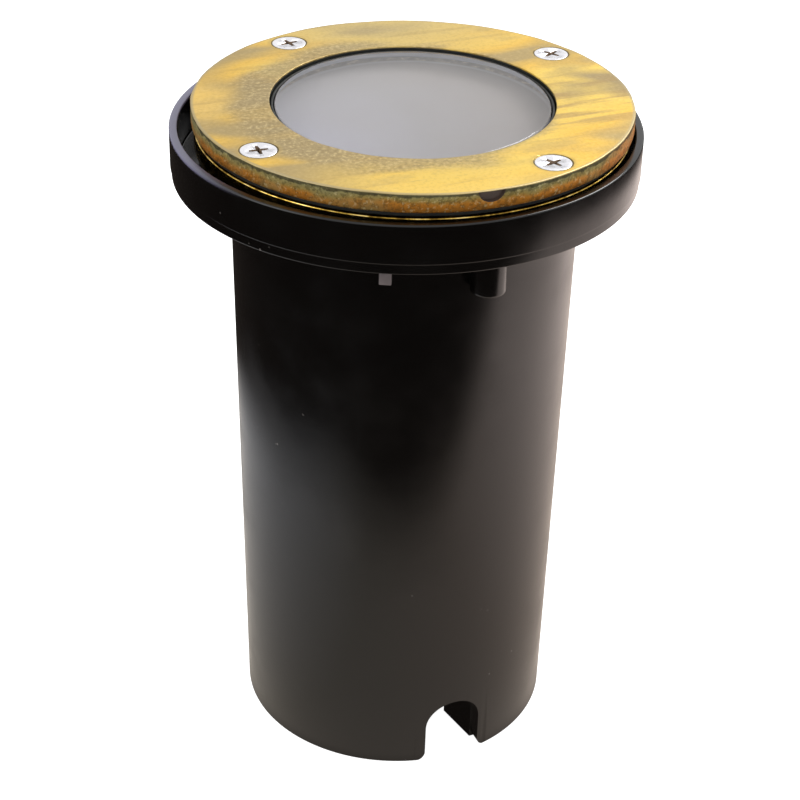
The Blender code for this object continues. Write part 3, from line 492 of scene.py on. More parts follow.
def bright_brass():
    """Machined brass, polished by handling, with fine turning marks."""
    nodes = Nodes("bright_brass", (0.86, 0.58, 0.16), 0.2, 1.0)
    body = nodes.colors(nodes.noise(40, 3), (0.35, (0.74, 0.47, 0.11)), (0.62, (0.90, 0.64, 0.21)))
    edge = nodes.colors(nodes.noise(260, 4, 0.7), (0.40, (0.18, 0.10, 0.015)), (0.52, (0.60, 0.39, 0.07)),
                        (0.64, (0.95, 0.70, 0.25)))
    on_flange = nodes.span(nodes.axis("Z"), FLANGE_TOP - 6 * MM, FLANGE_TOP - 5 * MM)
    nodes.set("Base Color", nodes.mix(on_flange, body, edge))
    rough = nodes.span(nodes.noise(70, 3), 0.3, 0.7, 0.32, 0.38)
    nodes.set("Roughness", nodes.math("SUBTRACT", rough, nodes.span(on_flange, 0, 1, 0, 0.14)))
    rings = nodes.noise(60, 2, vector=nodes.stretched((0.2, 0.2, 60)))
    first = nodes.bump(rings, 0.12, 0.00006)
    nodes.bump(nodes.noise(420, 3), 0.2, 0.00009, first)
    return nodes.material


def stainless(name="stainless", color=(0.86, 0.85, 0.88), roughness=0.3):
    nodes = Nodes(name, color, roughness, 1.0)
    tint = nodes.noise(240, 3)
    cool = tuple(0.94 * c for c in color)
    nodes.set("Base Color", nodes.colors(tint, (0.3, cool), (0.6, color)))
    nodes.set("Roughness", nodes.span(nodes.noise(900, 2), 0.3, 0.7, roughness - 0.06, roughness + 0.08))
    nodes.bump(nodes.noise(1600, 2), 0.06, 0.00002)
    return nodes.material


def rubber():
    nodes = Nodes("rubber", (0.012, 0.013, 0.012), 0.6)
    nodes.set("Base Color", nodes.colors(nodes.noise(300, 3), (0.3, (0.008, 0.009, 0.008)),
                                         (0.7, (0.020, 0.021, 0.019))))
    nodes.set("Roughness", nodes.span(nodes.noise(500, 2), 0.3, 0.7, 0.5, 0.72))
    nodes.bump(nodes.noise(900, 3), 0.3, 0.00008)
    return nodes.material


def matt(name, color, roughness, deep=0.85, scale=250, strength=0.15, **values):
    """A moulded or coated surface with slight colour and gloss variation."""
    nodes = Nodes(name, color, roughness, **values)
    darker = tuple(deep * c for c in color)
    nodes.set("Base Color", nodes.colors(nodes.noise(scale, 3), (0.3, darker), (0.65, color)))
    nodes.set("Roughness", nodes.span(nodes.noise(2 * scale, 2), 0.3, 0.7,
                                      roughness - 0.06, roughness + 0.06))
    nodes.bump(nodes.noise(4 * scale, 2), strength, 0.00005)
    return nodes.material


def clear_glass():
    nodes = Nodes("clear_glass", (0.97, 0.985, 0.98), 0.02, transmission_weight=1.0, ior=1.5)
    nodes.set("Roughness", nodes.span(nodes.noise(120, 3), 0.35, 0.7, 0.012, 0.045))
    return nodes.material


def ground_glass():
    """The lens's ground edge, seen through its face."""
    nodes = Nodes("ground_glass", (0.42, 0.43, 0.5), 0.5)
    nodes.set("Base Color", nodes.colors(nodes.noise(160, 3, vector=nodes.stretched((1, 1, 4))),
                                         (0.3, (0.34, 0.35, 0.42)), (0.7, (0.52, 0.52, 0.58))))
    nodes.bump(nodes.noise(1100, 2), 0.3, 0.00005)
    return nodes.material


def frosted_glass():
    """The frosted underside that hides the lamp: lilac grey with painted light, paler and bluer to the left
    and warmer and darker to the right, warm where it is seated, with a painted paler line just inside the
    seat.
    """
    nodes = Nodes("frosted_glass", (0.56, 0.53, 0.56), 0.6)
    center = Vector((PIVOT.x, PIVOT.y, 0))
    # Painted light: paler and bluer towards the left, warmer and darker towards the right, as if lit from the
    # left.
    far = nodes.distance(center - RIGHT * 50 * MM - AWAY * 40 * MM)
    drift = nodes.math("ADD", nodes.span(far, 30 * MM, 105 * MM, 0, 1, False),
                       nodes.span(nodes.noise(30, 2), 0.3, 0.7, -0.08, 0.08, False))
    painted_light_field = nodes.colors(drift, (0.0, (0.70, 0.68, 0.76)), (0.45, (0.585, 0.555, 0.565)),
                         (0.8, (0.55, 0.50, 0.48)), (1.0, (0.49, 0.45, 0.43)))
    reach = nodes.distance(center)
    seat = nodes.span(reach, OPENING_RADIUS - 0.3 * MM, OPENING_RADIUS + 0.3 * MM)
    seal = nodes.colors(nodes.noise(420, 3), (0.36, (0.44, 0.39, 0.35)), (0.54, (0.54, 0.48, 0.42)),
                        (0.68, (0.76, 0.68, 0.56)))
    # Painted light: a paler line just inside the seat, lifting the shade near the seat.
    line = nodes.math("SUBTRACT", reach, OPENING_RADIUS - 0.6 * MM)
    edge = nodes.span(nodes.math("ABSOLUTE", line), 0.9 * MM, 0.2 * MM, 0.0, 0.5)
    color = nodes.mix(seat, painted_light_field, seal)
    nodes.set("Base Color", nodes.mix(edge, color, (0.72, 0.70, 0.70)))
    nodes.bump(nodes.noise(1400, 2), 0.2, 0.00004)
    return nodes.material


def glow_sheet():
    """What the glossy pieces see of the floor: a lit sheet with a soft near edge, dark beyond it."""
    material = bpy.data.materials.new("studio_sheet")
    material.use_nodes = True
    nodes = Nodes.__new__(Nodes)
    nodes.material = material
    nodes.tree = material.node_tree
    nodes.tree.nodes.clear()
    nodes.place = nodes.tree.nodes.new("ShaderNodeTexCoord").outputs["Object"]
    x = nodes.axis("X")
    front = nodes.span(nodes.axis("Y"), -0.190, -0.120)
    reach = nodes.distance((0, 0))
    round_edge = nodes.span(reach, 0.216, 0.148)
    lit = nodes.math("MULTIPLY", front, nodes.math("MAXIMUM", round_edge, nodes.span(x, -0.015, 0.035)))
    # Painted shadow: the sheet goes dark within the sleeve's foot, standing in for the shade under it.
    lit = nodes.math("MULTIPLY", lit, nodes.span(reach, 0.038, 0.046))
    lit = nodes.math("MULTIPLY", lit, nodes.span(reach, 0.44, 0.375))
    share = nodes.span(x, -0.16, 0.24, 0, 1, False)
    sheet = nodes.colors(share, (0.0, (0.57, 0.57, 0.59)), (0.3, (0.41, 0.37, 0.32)),
                         (0.6, (0.53, 0.44, 0.38)), (0.97, (0.93, 0.79, 0.73)))
    emission = nodes.tree.nodes.new("ShaderNodeEmission")
    emission.inputs["Strength"].default_value = 1.65
    nodes.tree.links.new(nodes.mix(lit, (0.02, 0.016, 0.014), sheet), emission.inputs["Color"])
    output = nodes.tree.nodes.new("ShaderNodeOutputMaterial")
    nodes.tree.links.new(emission.outputs[0], output.inputs["Surface"])
    return material


BLACK = black_plastic()
CAST = cast_brass()
TARNISH = matt("tarnish", (0.085, 0.055, 0.042), 0.6, 0.7, 400)
BRASS = bright_brass()
SCREW = stainless("screw_steel", (0.93, 0.92, 0.96), 0.3)
RECESS = stainless("recess_steel", (0.16, 0.11, 0.075), 0.45)
STEEL = stainless("bracket_steel", (0.72, 0.72, 0.71), 0.34)
RUBBER = rubber()
SILICONE = matt("silicone", (0.68, 0.64, 0.56), 0.5)
GLASS = clear_glass()
EDGE_GLASS = ground_glass()
FROST = frosted_glass()
ALUMINIUM = stainless("spun_aluminium", (0.80, 0.81, 0.83), 0.22)
CERAMIC = matt("ceramic", (0.86, 0.84, 0.77), 0.3, scale=120)
WHITE = matt("white_plastic", (0.82, 0.82, 0.79), 0.38)
LED = matt("led_phosphor", (0.90, 0.74, 0.24), 0.45, scale=900)
RED = matt("red_wire", (0.42, 0.025, 0.02), 0.4)
WIRE_BLACK = matt("black_wire", (0.015, 0.015, 0.016), 0.4)


# Ground sleeve

TUBE_RADIUS, FOOT_RADIUS, TUBE_WALL = 45.057 * MM, 42.757 * MM, 2.5 * MM
TUBE_BORE, CUP_WALL, CUP_FLOOR = TUBE_RADIUS - TUBE_WALL, 2.1 * MM, 2.5 * MM
CUP_BORE = CUP_RADIUS - CUP_WALL
BAND_HEIGHT, BAND_PROUD = 2.8 * MM, 0.3 * MM
NOTCH_HALF, NOTCH_HEIGHT, NOTCH_CORNER, FOOT_CORNER = 8 * MM, 19.3 * MM, 7.9 * MM, 3 * MM
CHANNEL_WALL, CHANNEL_DEPTH, CHANNEL_TAPER = 2.2 * MM, 18 * MM, 0.7
MOUTH = math.sqrt((FOOT_RADIUS - TUBE_WALL) ** 2 - (NOTCH_HALF + FOOT_CORNER) ** 2)
CHANNEL_END = FOOT_RADIUS - CHANNEL_DEPTH
SEAT_TOP = FLANGE_TOP - 5 * MM - GAP
BOSS_RADIUS, BOSS_PROUD, BOSS_DROP = 4.4 * MM, 2.9 * MM, 12.2 * MM
BOSS_TURN, DRAIN_RADIUS = math.radians(1.9), 1.5 * MM
NUB_SIZE, NUB_INSET = (2.9 * MM, 1.6 * MM, 4.6 * MM), 2 * MM
NUB_ANGLE = math.radians(-117.5)
PROFILE_HEIGHTS = (148, 100, 50, 24)    # extra rings down the tube, in mm, for even shading


def arc(cx, cy, r, start, end, count):
    angles = (math.radians(start + (end - start) * i / count) for i in range(count + 1))
    return [(cx + r * math.cos(a), cy + r * math.sin(a)) for a in angles]


def arch(margin, start):
    """The notch's outline grown by margin; start lists its right side below the spring."""
    crown = arc(NOTCH_HALF - NOTCH_CORNER, NOTCH_HEIGHT - NOTCH_CORNER, NOTCH_CORNER + margin, 0, 90, 12)
    side = start + crown
    return side + [(-x, z) for x, z in reversed(side)]


def channel_share(reach):
    """The channel's size at a distance from the axis, over its size at the mouth."""
    return 1 - (1 - CHANNEL_TAPER) * (MOUTH - reach) / (MOUTH - CHANNEL_END)


def upright(outline, near, far, side, tapered=False):
    """An outline in X and Z made solid between two distances along Y, on one side of the axis."""
    outer = channel_share(far) if tapered else 1
    inner = channel_share(near) if tapered else 1
    bm = prism_mesh([(x * outer, z * outer) for x, z in outline], near, far, inner / outer)
    bmesh.ops.rotate(bm, cent=(0, 0, 0), matrix=Matrix.Rotation(math.radians(90), 3, "X"), verts=bm.verts)
    if side > 0:
        bmesh.ops.rotate(bm, cent=(0, 0, 0), matrix=Matrix.Rotation(math.pi, 3, "Z"), verts=bm.verts)
    return bm, SLEEVE


def make_sleeve():
    step = 0.25 * MM
    profile = [
        (CUP_RADIUS, LIP_TOP, 0.5 * MM),
        (CUP_RADIUS, CUP_BOTTOM + BAND_HEIGHT, 0.08 * MM),
        (CUP_RADIUS - BAND_PROUD, CUP_BOTTOM + BAND_HEIGHT - step, 0.08 * MM),
        (CUP_RADIUS - BAND_PROUD, CUP_BOTTOM, 0.4 * MM),
        (TUBE_RADIUS, CUP_BOTTOM, 0.9 * MM),
        *[(FOOT_RADIUS + (TUBE_RADIUS - FOOT_RADIUS) * z * MM / CUP_BOTTOM, z * MM)
          for z in PROFILE_HEIGHTS],
        (FOOT_RADIUS, 0, 0.5 * MM),
        (FOOT_RADIUS - TUBE_WALL, 0, 0.5 * MM),
        (TUBE_BORE, CUP_BOTTOM),
        (TUBE_BORE, SEAT_TOP, 0.3 * MM),
        (TUBE_RADIUS, SEAT_TOP, 0.3 * MM),
        (TUBE_RADIUS, CUP_BOTTOM + CUP_FLOOR, 0.6 * MM),
        (CUP_BORE, CUP_BOTTOM + CUP_FLOOR, 0.6 * MM),
        (CUP_BORE, LIP_TOP, 0.4 * MM),
    ]
    sleeve = turned("sleeve_moulding", profile, FINE, SLEEVE, steps=5)
    floor_top = CUP_BOTTOM + CUP_FLOOR
    joined = []
    middle_reach = (CUP_BORE + TUBE_RADIUS) / 2
    for i in range(6):
        reach = CUP_BORE - TUBE_RADIUS + 1.6 * MM
        height = SEAT_TOP - GAP - floor_top + 0.8 * MM
        rib = box_mesh((reach, 2 * MM, height), (middle_reach, 0, SEAT_TOP - GAP - height / 2))
        bmesh.ops.bevel(rib, geom=rib.edges[:], offset=0.3 * MM, segments=2, affect="EDGES", profile=0.5)
        joined.append((rib, Matrix.Rotation(math.pi * i / 3, 4, "Z")))
    drains = []
    for side in (-1, 1):
        place = Matrix.Rotation(BOSS_TURN, 4, "Z") @ Vector((0, side * (TUBE_RADIUS + BOSS_PROUD), 0))
        bottom = CUP_BOTTOM - BOSS_DROP
        boss = rounded([(0, CUP_BOTTOM + 1.2 * MM), (BOSS_RADIUS, CUP_BOTTOM + 1.2 * MM),
                        (BOSS_RADIUS, bottom, 0.8 * MM), (0, bottom)], 5, False)
        joined.append((turned_mesh(boss, SMALL, False), Matrix.Translation(place)))
        drains.append((cylinder_mesh(DRAIN_RADIUS, bottom - MM, floor_top + MM, place.x, place.y), SLEEVE))
        block, where = upright(arch(CHANNEL_WALL, [(NOTCH_HALF + CHANNEL_WALL, 0.5 * MM)]),
                               CHANNEL_END, FOOT_RADIUS - TUBE_WALL / 2, side, True)
        joined.append((block, where))
    nub = box_mesh(NUB_SIZE, (0, 0, 0))
    bmesh.ops.bevel(nub, geom=nub.edges[:], offset=0.2 * MM, segments=2, affect="EDGES", profile=0.5)
    carve(sleeve, joined, "UNION")

    half = NOTCH_HALF
    below = -5 * MM
    feet = [(half + FOOT_CORNER, below)] + arc(half + FOOT_CORNER, FOOT_CORNER, FOOT_CORNER, 270, 180, 8)
    for side in (-1, 1):
        drains.append(upright(arch(0, feet), MOUTH - MM, FOOT_RADIUS + 3 * MM, side))
        bore = arch(-0.2 * MM, [(half - 0.2 * MM, below)])
        drains.append(upright(bore, CHANNEL_END - MM, MOUTH, side, True))
    carve(sleeve, drains)
    ease(sleeve, 0.35 * MM, 3, 55, 50)
    finished(sleeve, BLACK, "sleeve", "black_plastic", "ground_sleeve")

    out = CUP_RADIUS - NUB_INSET
    place = Matrix.Translation((out * math.cos(NUB_ANGLE), out * math.sin(NUB_ANGLE),
                                CUP_BOTTOM - 1.05 * MM))
    place = place @ Matrix.Rotation(NUB_ANGLE + math.pi / 2, 4, "Z")
    tag = object_from("moulding_gate", nub, where=place)
    finished(tag, matt("gate_plastic", (0.09, 0.072, 0.072), 0.45), "sleeve", "black_plastic")


# Light can with its seals and gland

def make_can():
    bore = 35.957 * MM
    wall = 2 * MM
    ledge = LENS_BOTTOM - GAP - 1.3 * MM
    counterbore = LENS_FLANGE_RADIUS + GAP
    head = counterbore + 1.6 * MM
    floor_top = CAN_BOTTOM + 3 * MM
    head_bottom = ledge - 4 * MM
    flange_bottom = FLANGE_TOP - 5 * MM
    profile = [
        (0, floor_top),
        (bore, floor_top, 1.0 * MM),
        (bore, ledge, 0.2 * MM),
        (counterbore, ledge, 0.2 * MM),
        (counterbore, FLANGE_TOP, 0.3 * MM),
        (FLANGE_RADIUS, FLANGE_TOP, 0.5 * MM),
        (FLANGE_RADIUS, flange_bottom, 0.5 * MM),
        (head, flange_bottom, 0.8 * MM),
        (head, head_bottom, 0.5 * MM),
        (bore + wall, head_bottom - (head - bore - wall), 1.0 * MM),
        (bore + wall, CAN_BOTTOM, 1.5 * MM),
        (0, CAN_BOTTOM),
    ]
    can = turned("can_casting", profile, FINE, INSERT, False, 4)
    pads = [(cylinder_mesh(4.2 * MM, floor_top - 1.5 * MM, floor_top + 4 * MM, x, y), INSERT)
            for x, y in ((-14 * MM, 0), (14 * MM, 0), (0, 19 * MM))]
    carve(can, pads, "UNION")
    holes = [(cylinder_mesh(1.8 * MM, floor_top + GAP, floor_top + 5 * MM, x, y), INSERT)
             for x, y in ((-14 * MM, 0), (14 * MM, 0), (0, 19 * MM))]
    holes.append((cylinder_mesh(8.3 * MM, CAN_BOTTOM - MM, floor_top + MM, 0, -19.5 * MM), INSERT))
    holes += [(cylinder_mesh(2.8 * MM, flange_bottom - MM, FLANGE_TOP + MM, p.x, p.y), SLEEVE)
              for p in SCREW_PLACES]
    carve(can, holes)
    ease(can, 0.25 * MM, 2, 55)
    finished(can, BRASS, "can", "bright_brass", "light_can")

    bottom, top = low("flange_gasket"), high("flange_gasket")
    inner = counterbore + 2.2 * MM
    soft = 0.25 * MM
    gasket = turned("flange_seal", band(radius("flange_gasket"), inner, bottom, top, soft), FINE)
    carve(gasket, [(cylinder_mesh(2.8 * MM, bottom - MM, top + MM, p.x, p.y), SLEEVE) for p in SCREW_PLACES])
    finished(gasket, RUBBER, "can", "rubber", "flange_gasket")

    bottom, top = low("lens_seat_seal"), high("lens_seat_seal")
    outer = radius("lens_seat_seal")
    finished(turned("seat_seal", band(outer, outer - 2.2 * MM, bottom, top, soft), FINE), SILICONE,
            "can", "silicone", "lens_seat_seal")


def hexagon(across_corners, bottom, top, bore, name, round_off=0.8):
    """A hexagonal nut with turned chamfers and a bore."""
    flats = across_corners * math.cos(math.pi / 6)
    outline = [(across_corners * math.cos(a), across_corners * math.sin(a))
               for a in (math.pi * k / 3 for k in range(6))]
    nut = object_from(name, prism_mesh(outline, bottom, top), where=GLAND)
    lip = (across_corners - flats) * round_off
    limit = [(0, top), (flats - 0.2 * MM, top), (across_corners + 0.2 * MM, top - lip),
             (across_corners + 0.2 * MM, bottom + lip), (flats - 0.2 * MM, bottom), (0, bottom)]
    carve(nut, [(turned_mesh(limit, SMALL, False), GLAND)], "INTERSECT")
    if bore:
        carve(nut, [(cylinder_mesh(bore, bottom - MM, top + MM), GLAND)])
    return nut


GLAND = INSERT @ Matrix.Translation((0, -19.5 * MM, 0))


def threaded(name, major, bottom, top, pitch, depth, segments=48, where=INSERT):
    """A rod with a helical thread, closed at both ends."""
    bm = bmesh.new()
    rows = max(2, round((top - bottom) / pitch * 8))
    grid = []
    for i in range(rows + 1):
        z = bottom + (top - bottom) * i / rows
        fade = min(1.0, (z - bottom) / pitch, (top - z) / pitch)
        loop = []
        for k in range(segments):
            a = 2 * math.pi * k / segments
            phase = (z / pitch - k / segments) % 1
            r = major - depth * (1 - fade * (1 - abs(2 * phase - 1)))
            loop.append(bm.verts.new((r * math.cos(a), r * math.sin(a), z)))
        grid.append(loop)
    for first, second in zip(grid, grid[1:]):
        for k in range(segments):
            n = (k + 1) % segments
            bm.faces.new((first[k], first[n], second[n], second[k]))
    bm.faces.new(grid[0][::-1])
    bm.faces.new(grid[-1])
    return object_from(name, bm, 70, where)


def make_gland():
    hex_top = high("gland_washer") - 1.2 * MM - GAP
    hex_bottom = hex_top - 5 * MM
    spigot_bottom = hex_bottom - 8 * MM
    thread_top = high("gland_body")
    body = hexagon(12 * MM, hex_bottom, hex_top, 0, "gland_hex")
    rod = threaded("gland_rod", 8 * MM, hex_top - MM, thread_top, 1.5 * MM, 0.8 * MM, where=GLAND)
    spigot = cylinder_mesh(9 * MM, spigot_bottom, hex_bottom + MM)
    carve(body, [(mesh_of(rod), SLEEVE), (spigot, GLAND)], "UNION")
    bore = cylinder_mesh(4.2 * MM, spigot_bottom - MM, thread_top + MM)
    seat = cylinder_mesh(6.9 * MM, spigot_bottom - MM, spigot_bottom + 6.6 * MM)
    carve(body, [(bore, GLAND), (seat, GLAND)])
    ease(body, 0.15 * MM, 1, 60)
    finished(body, BRASS, "can", "bright_brass", "gland_body")

    nut_top = high("gland_nut")
    nut_bottom = low("gland_nut")
    nut = [
        (11.5 * MM, nut_top, 0.5 * MM),
        (11.5 * MM, nut_bottom + 3 * MM, 1.2 * MM),
        (7.1 * MM, nut_bottom, 0.6 * MM),
        (4.2 * MM, nut_bottom, 0.5 * MM),
        (4.2 * MM, nut_bottom + 3 * MM, 0.3 * MM),
        (9.3 * MM, nut_bottom + 3 * MM),
        (9.3 * MM, nut_top, 0.3 * MM),
    ]
    cap = turned("gland_cap", nut, ROUND, GLAND)
    flutes = []
    for k in range(18):
        turn = Matrix.Rotation(2 * math.pi * k / 18, 4, "Z")
        flutes.append((cylinder_mesh(0.9 * MM, nut_bottom + 2.2 * MM, nut_top - 1.2 * MM, 12.1 * MM,
                                     segments=16), GLAND @ turn))
    carve(cap, flutes)
    ease(cap, 0.12 * MM, 1, 50)
    finished(cap, BRASS, "can", "bright_brass", "gland_nut")

    lock_bottom, lock_top = low("gland_locknut"), high("gland_locknut")
    locknut = hexagon(12 * MM, lock_bottom, lock_top, 8.3 * MM, "gland_lock")
    ease(locknut, 0.15 * MM, 1, 50)
    finished(locknut, BRASS, "can", "bright_brass", "gland_locknut")
    for name, node, inner, outer in (("gland_cushion", "gland_seal", 3.2 * MM, 6.6 * MM),
                                     ("gland_disc", "gland_washer", 8.3 * MM, 12 * MM)):
        bottom, top = low(node), high(node)
        outline = band(outer, inner, bottom, top, 0.3 * MM)
        finished(turned(name, outline, SMALL, GLAND), RUBBER, "can", "rubber", node)


# Lid

def make_ring():
    """The casting: its faces and rim are slightly uneven, and stay inside the design's outline."""
    edge = 0.3 * MM
    widths = [OPENING_RADIUS + (RING_RADIUS - OPENING_RADIUS) * k / 16 for k in range(1, 16)]
    profile = rounded([
        *[(r, RING_TOP) for r in widths],
        (RING_RADIUS, RING_TOP, edge),
        (RING_RADIUS, (RING_TOP + RING_BOTTOM) / 2),
        (RING_RADIUS, RING_BOTTOM, 0.5 * MM),
        *[(r, RING_BOTTOM) for r in reversed(widths[::5])],
        (OPENING_RADIUS, RING_BOTTOM, 0.3 * MM),
        (OPENING_RADIUS, RING_TOP, 0.15 * MM),
    ], 4)
    bm = turned_mesh(profile, 360)
    for vert in bm.verts:
        reach = math.hypot(vert.co.x, vert.co.y)
        around = Vector((vert.co.x, vert.co.y, 0)) / MM
        if reach > RING_RADIUS - 2 * MM:
            wear = 0.14 * noise.noise(around / 9) + 0.05 * noise.noise(around / 2.6)
            shrink = 1 - max(0, 0.1 + wear) * MM / reach
            vert.co.x *= shrink
            vert.co.y *= shrink
        if vert.co.z > RING_TOP - 0.3 * MM:
            dip = 0.10 + 0.12 * noise.noise(around / 11) + 0.025 * noise.noise(around / 3)
            vert.co.z -= max(0, dip) * MM
    ring = object_from("ring_casting", bm, 50, INSERT)
    head, shank = 4.5 * MM, 2.8 * MM
    sunk = RING_TOP - 0.1 * MM
    narrow = sunk - (head + 0.15 * MM - shank)
    tools = []
    for place in SCREW_PLACES:
        tools.append((cylinder_mesh(shank, RING_BOTTOM - MM, RING_TOP + MM, place.x, place.y), SLEEVE))
        tools.append((cylinder_mesh(shank, narrow, RING_TOP + MM, place.x, place.y,
                                    shank + RING_TOP + MM - narrow), SLEEVE))
    curve = [(3.3 * MM * math.cos(a), 2.8 * MM * math.sin(a))
             for a in (math.radians(180 + 7.5 * i) for i in range(25))]
    plug = prism_mesh(curve, -1.6 * MM, 2 * MM)
    upend = Matrix.Rotation(math.radians(90), 4, "X")
    facing = Matrix.Rotation(TURN + POCKET_TURN + math.pi / 2, 4, "Z")
    tools.append((plug, Matrix.Translation(POCKET) @ facing @ upend))
    carve(ring, tools)
    ease(ring, 0.12 * MM, 2, 60, 50)
    finished(ring, CAST, "cover", "cast_brass", "trim_ring")
    ring.data.materials.append(TARNISH)
    axis = Vector((PIVOT.x, PIVOT.y))
    for polygon in ring.data.polygons:
        inset = RING_RADIUS - (polygon.center.xy - axis).length
        if (polygon.center - POCKET).length < 3.6 * MM and 0.45 * MM < inset < 1.8 * MM \
                and polygon.center.z < RING_TOP - 0.25 * MM:
            polygon.material_index = 1


def cross(span, width):
    """A plus-shaped outline with flared arms."""
    s, w = span / 2, width / 2
    quarter = [(s, -w), (s, w), (1.5 * w, 1.5 * w)]
    points = []
    for k in range(4):
        c, n = round(math.cos(math.pi * k / 2)), round(math.sin(math.pi * k / 2))
        points += [(x * c - y * n, x * n + y * c) for x, y in quarter]
    return points


def make_screws():
    top = RING_TOP - 0.1 * MM
    for number, (place, turn) in enumerate(zip(SCREW_PLACES, SCREW_TURNS), 1):
        where = Matrix.Translation((place.x, place.y, 0)) @ Matrix.Rotation(math.radians(turn), 4, "Z")
        tip = low(f"ring_screw_{number}")
        neck = top - 2.1 * MM
        head = [(0, top), (4.5 * MM, top, 0.25 * MM), (4.42 * MM, top - 0.25 * MM, 0.1 * MM),
                (2.45 * MM, neck), (0, neck)]
        screw = turned(f"cover_screw_{number}", head, SMALL, where, False)
        rod = threaded("rod", 2.5 * MM, tip, neck + 0.2 * MM, 0.8 * MM, 0.42 * MM, where=where)
        carve(screw, [(mesh_of(rod), SLEEVE)], "UNION")
        recess = prism_mesh(cross(5.0 * MM, 0.8 * MM), top - 2.6 * MM, top + 0.3 * MM, 0.6)
        carve(screw, [(recess, where)])
        finished(screw, SCREW, "cover", "stainless", f"ring_screw_{number}")
        screw.data.materials.append(RECESS)
        for polygon in screw.data.polygons:
            spot = polygon.center - place
            if top - 2.7 * MM < polygon.center.z < top - 0.2 * MM and spot.xy.length < 2.5 * MM:
                polygon.material_index = 1


def make_lens():
    step = LENS_BOTTOM + 6 * MM
    face = 34.857 * MM
    outline = [(0, LENS_TOP), (face, LENS_TOP, 0.6 * MM), (face, step, 0.3 * MM),
               (LENS_FLANGE_RADIUS, step, 0.3 * MM), (LENS_FLANGE_RADIUS, LENS_BOTTOM, 0.3 * MM),
               (0, LENS_BOTTOM)]
    lens = turned("lens", outline, FINE, closed=False, sharp=35)
    for material in (GLASS, EDGE_GLASS, FROST):
        lens.data.materials.append(material)
    for polygon in lens.data.polygons:
        z = polygon.center.z
        if polygon.normal.z < -0.9:
            polygon.material_index = 2
        elif z < LENS_TOP - 0.5 * MM:
            polygon.material_index = 1
    finished(lens, None, "cover", "lens", "lens_glass")

    base, top = low("lens_gasket"), high("lens_gasket")
    inner, outer = face + GAP, OPENING_RADIUS - GAP
    soft = 0.25 * MM
    outline = [(outer, top, soft), (outer, base + 0.7 * MM, 0.15 * MM),
               (LENS_FLANGE_RADIUS, base + 0.7 * MM, soft),
               (LENS_FLANGE_RADIUS, base, soft), (inner, base, 0.1 * MM), (inner, top, soft)]
    finished(turned("lens_seal", outline, FINE), RUBBER, "cover", "rubber", "lens_gasket")


# Inside the can

def make_bracket():
    """The CAD strap is right in shape, so only its screws and the finish are remade."""
    frame["nodes"]["gimbal_bracket"].data.materials.clear()
    frame["nodes"]["gimbal_bracket"].data.materials.append(STEEL)
    for node, material in (("bracket_screw_1", STEEL), ("bracket_screw_2", STEEL),
                           ("terminal_mount_screw", STEEL), ("terminal_screw_1", BRASS),
                           ("terminal_screw_2", BRASS)):
        base, top = low(node), high(node)
        spot = middle(node)
        where = Matrix.Translation((spot.x, spot.y, 0)) @ Matrix.Rotation(TURN, 4, "Z")
        seat = top - 1.8 * MM
        outline = [(0, top), (2.8 * MM, top, 1.1 * MM), (2.8 * MM, seat, 0.15 * MM), (1.5 * MM, seat),
                   (1.5 * MM, base), (0, base)]
        screw = turned("pan_" + node, outline, SMALL, where, False)
        carve(screw, [(prism_mesh(cross(3.4 * MM, 0.6 * MM), top - 0.9 * MM, top + MM, 0.8), where)])
        slot = "bright_brass" if material is BRASS else "stainless"
        finished(screw, material, "can", slot, node)


def make_block():
    base, top = low("terminal_block"), high("terminal_block")
    center = Vector((0, 19 * MM, (base + top) / 2))
    bm = box_mesh((24 * MM, 12 * MM, top - base), center)
    bmesh.ops.bevel(bm, geom=bm.edges[:], offset=0.7 * MM, segments=3, affect="EDGES", profile=0.5)
    block = object_from("terminal_housing", bm, where=INSERT)
    y = 19 * MM
    tools = [(cylinder_mesh(1.8 * MM, base - MM, top + MM, 0, y), INSERT),
             (cylinder_mesh(3.1 * MM, base + 2 * MM, top + MM, 0, y), INSERT)]
    tools += [(cylinder_mesh(1.8 * MM, top - 4.3 * MM, top + MM, x, y), INSERT)
              for x in (-7.5 * MM, 7.5 * MM)]
    tools += [(box_mesh((1.0 * MM, 14 * MM, 3 * MM), (x, y, top)), INSERT) for x in (-3.9 * MM, 3.9 * MM)]
    carve(block, tools)
    ease(block, 0.15 * MM, 1, 50)
    finished(block, WHITE, "can", "white_plastic", "terminal_block")


def make_leads():
    """Two insulated wires, which run up to where the lamp's pins stand at rest."""
    bottom = low("lead_1")
    top = high("lead_1")
    reach = (top - bottom) * 0.9
    for number, side, material, slot in ((1, -1, RED, "red_wire"), (2, 1, WIRE_BLACK, "black_wire")):
        a = Vector((side * 4 * MM, 16 * MM, bottom))
        d = Vector((side * 2.65 * MM, 0, top))
        b, c = a + Vector((0, 0, reach)), d - Vector((0, 0, reach))
        curve = bpy.data.curves.new(f"lead_line_{number}", "CURVE")
        curve.dimensions = "3D"
        curve.bevel_depth = 0.9 * MM
        curve.bevel_resolution = 6
        curve.use_fill_caps = True
        spline = curve.splines.new("POLY")
        count = 40
        spline.points.add(count)
        for i, point in enumerate(spline.points):
            t = i / count
            s = 1 - t
            point.co = (*(a * s ** 3 + b * (3 * s * s * t) + c * (3 * s * t * t) + d * t ** 3), 1)
        holder = bpy.data.objects.new("holder", curve)
        bpy.context.scene.collection.objects.link(holder)
        graph = bpy.context.evaluated_depsgraph_get()
        mesh = bpy.data.meshes.new_from_object(holder.evaluated_get(graph))
        bpy.data.objects.remove(holder, do_unlink=True)
        bm = bmesh.new()
        bm.from_mesh(mesh)
        bmesh.ops.remove_doubles(bm, verts=bm.verts, dist=0.01 * MM)
        wire = object_from(f"lead_wire_{number}", bm, 50, INSERT)
        wire.data.materials.clear()
        wire.data.materials.append(material)
        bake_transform(wire)
        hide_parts(f"lead_{number}")


# Lamp and its gimbal, in the frame of the tilt axis

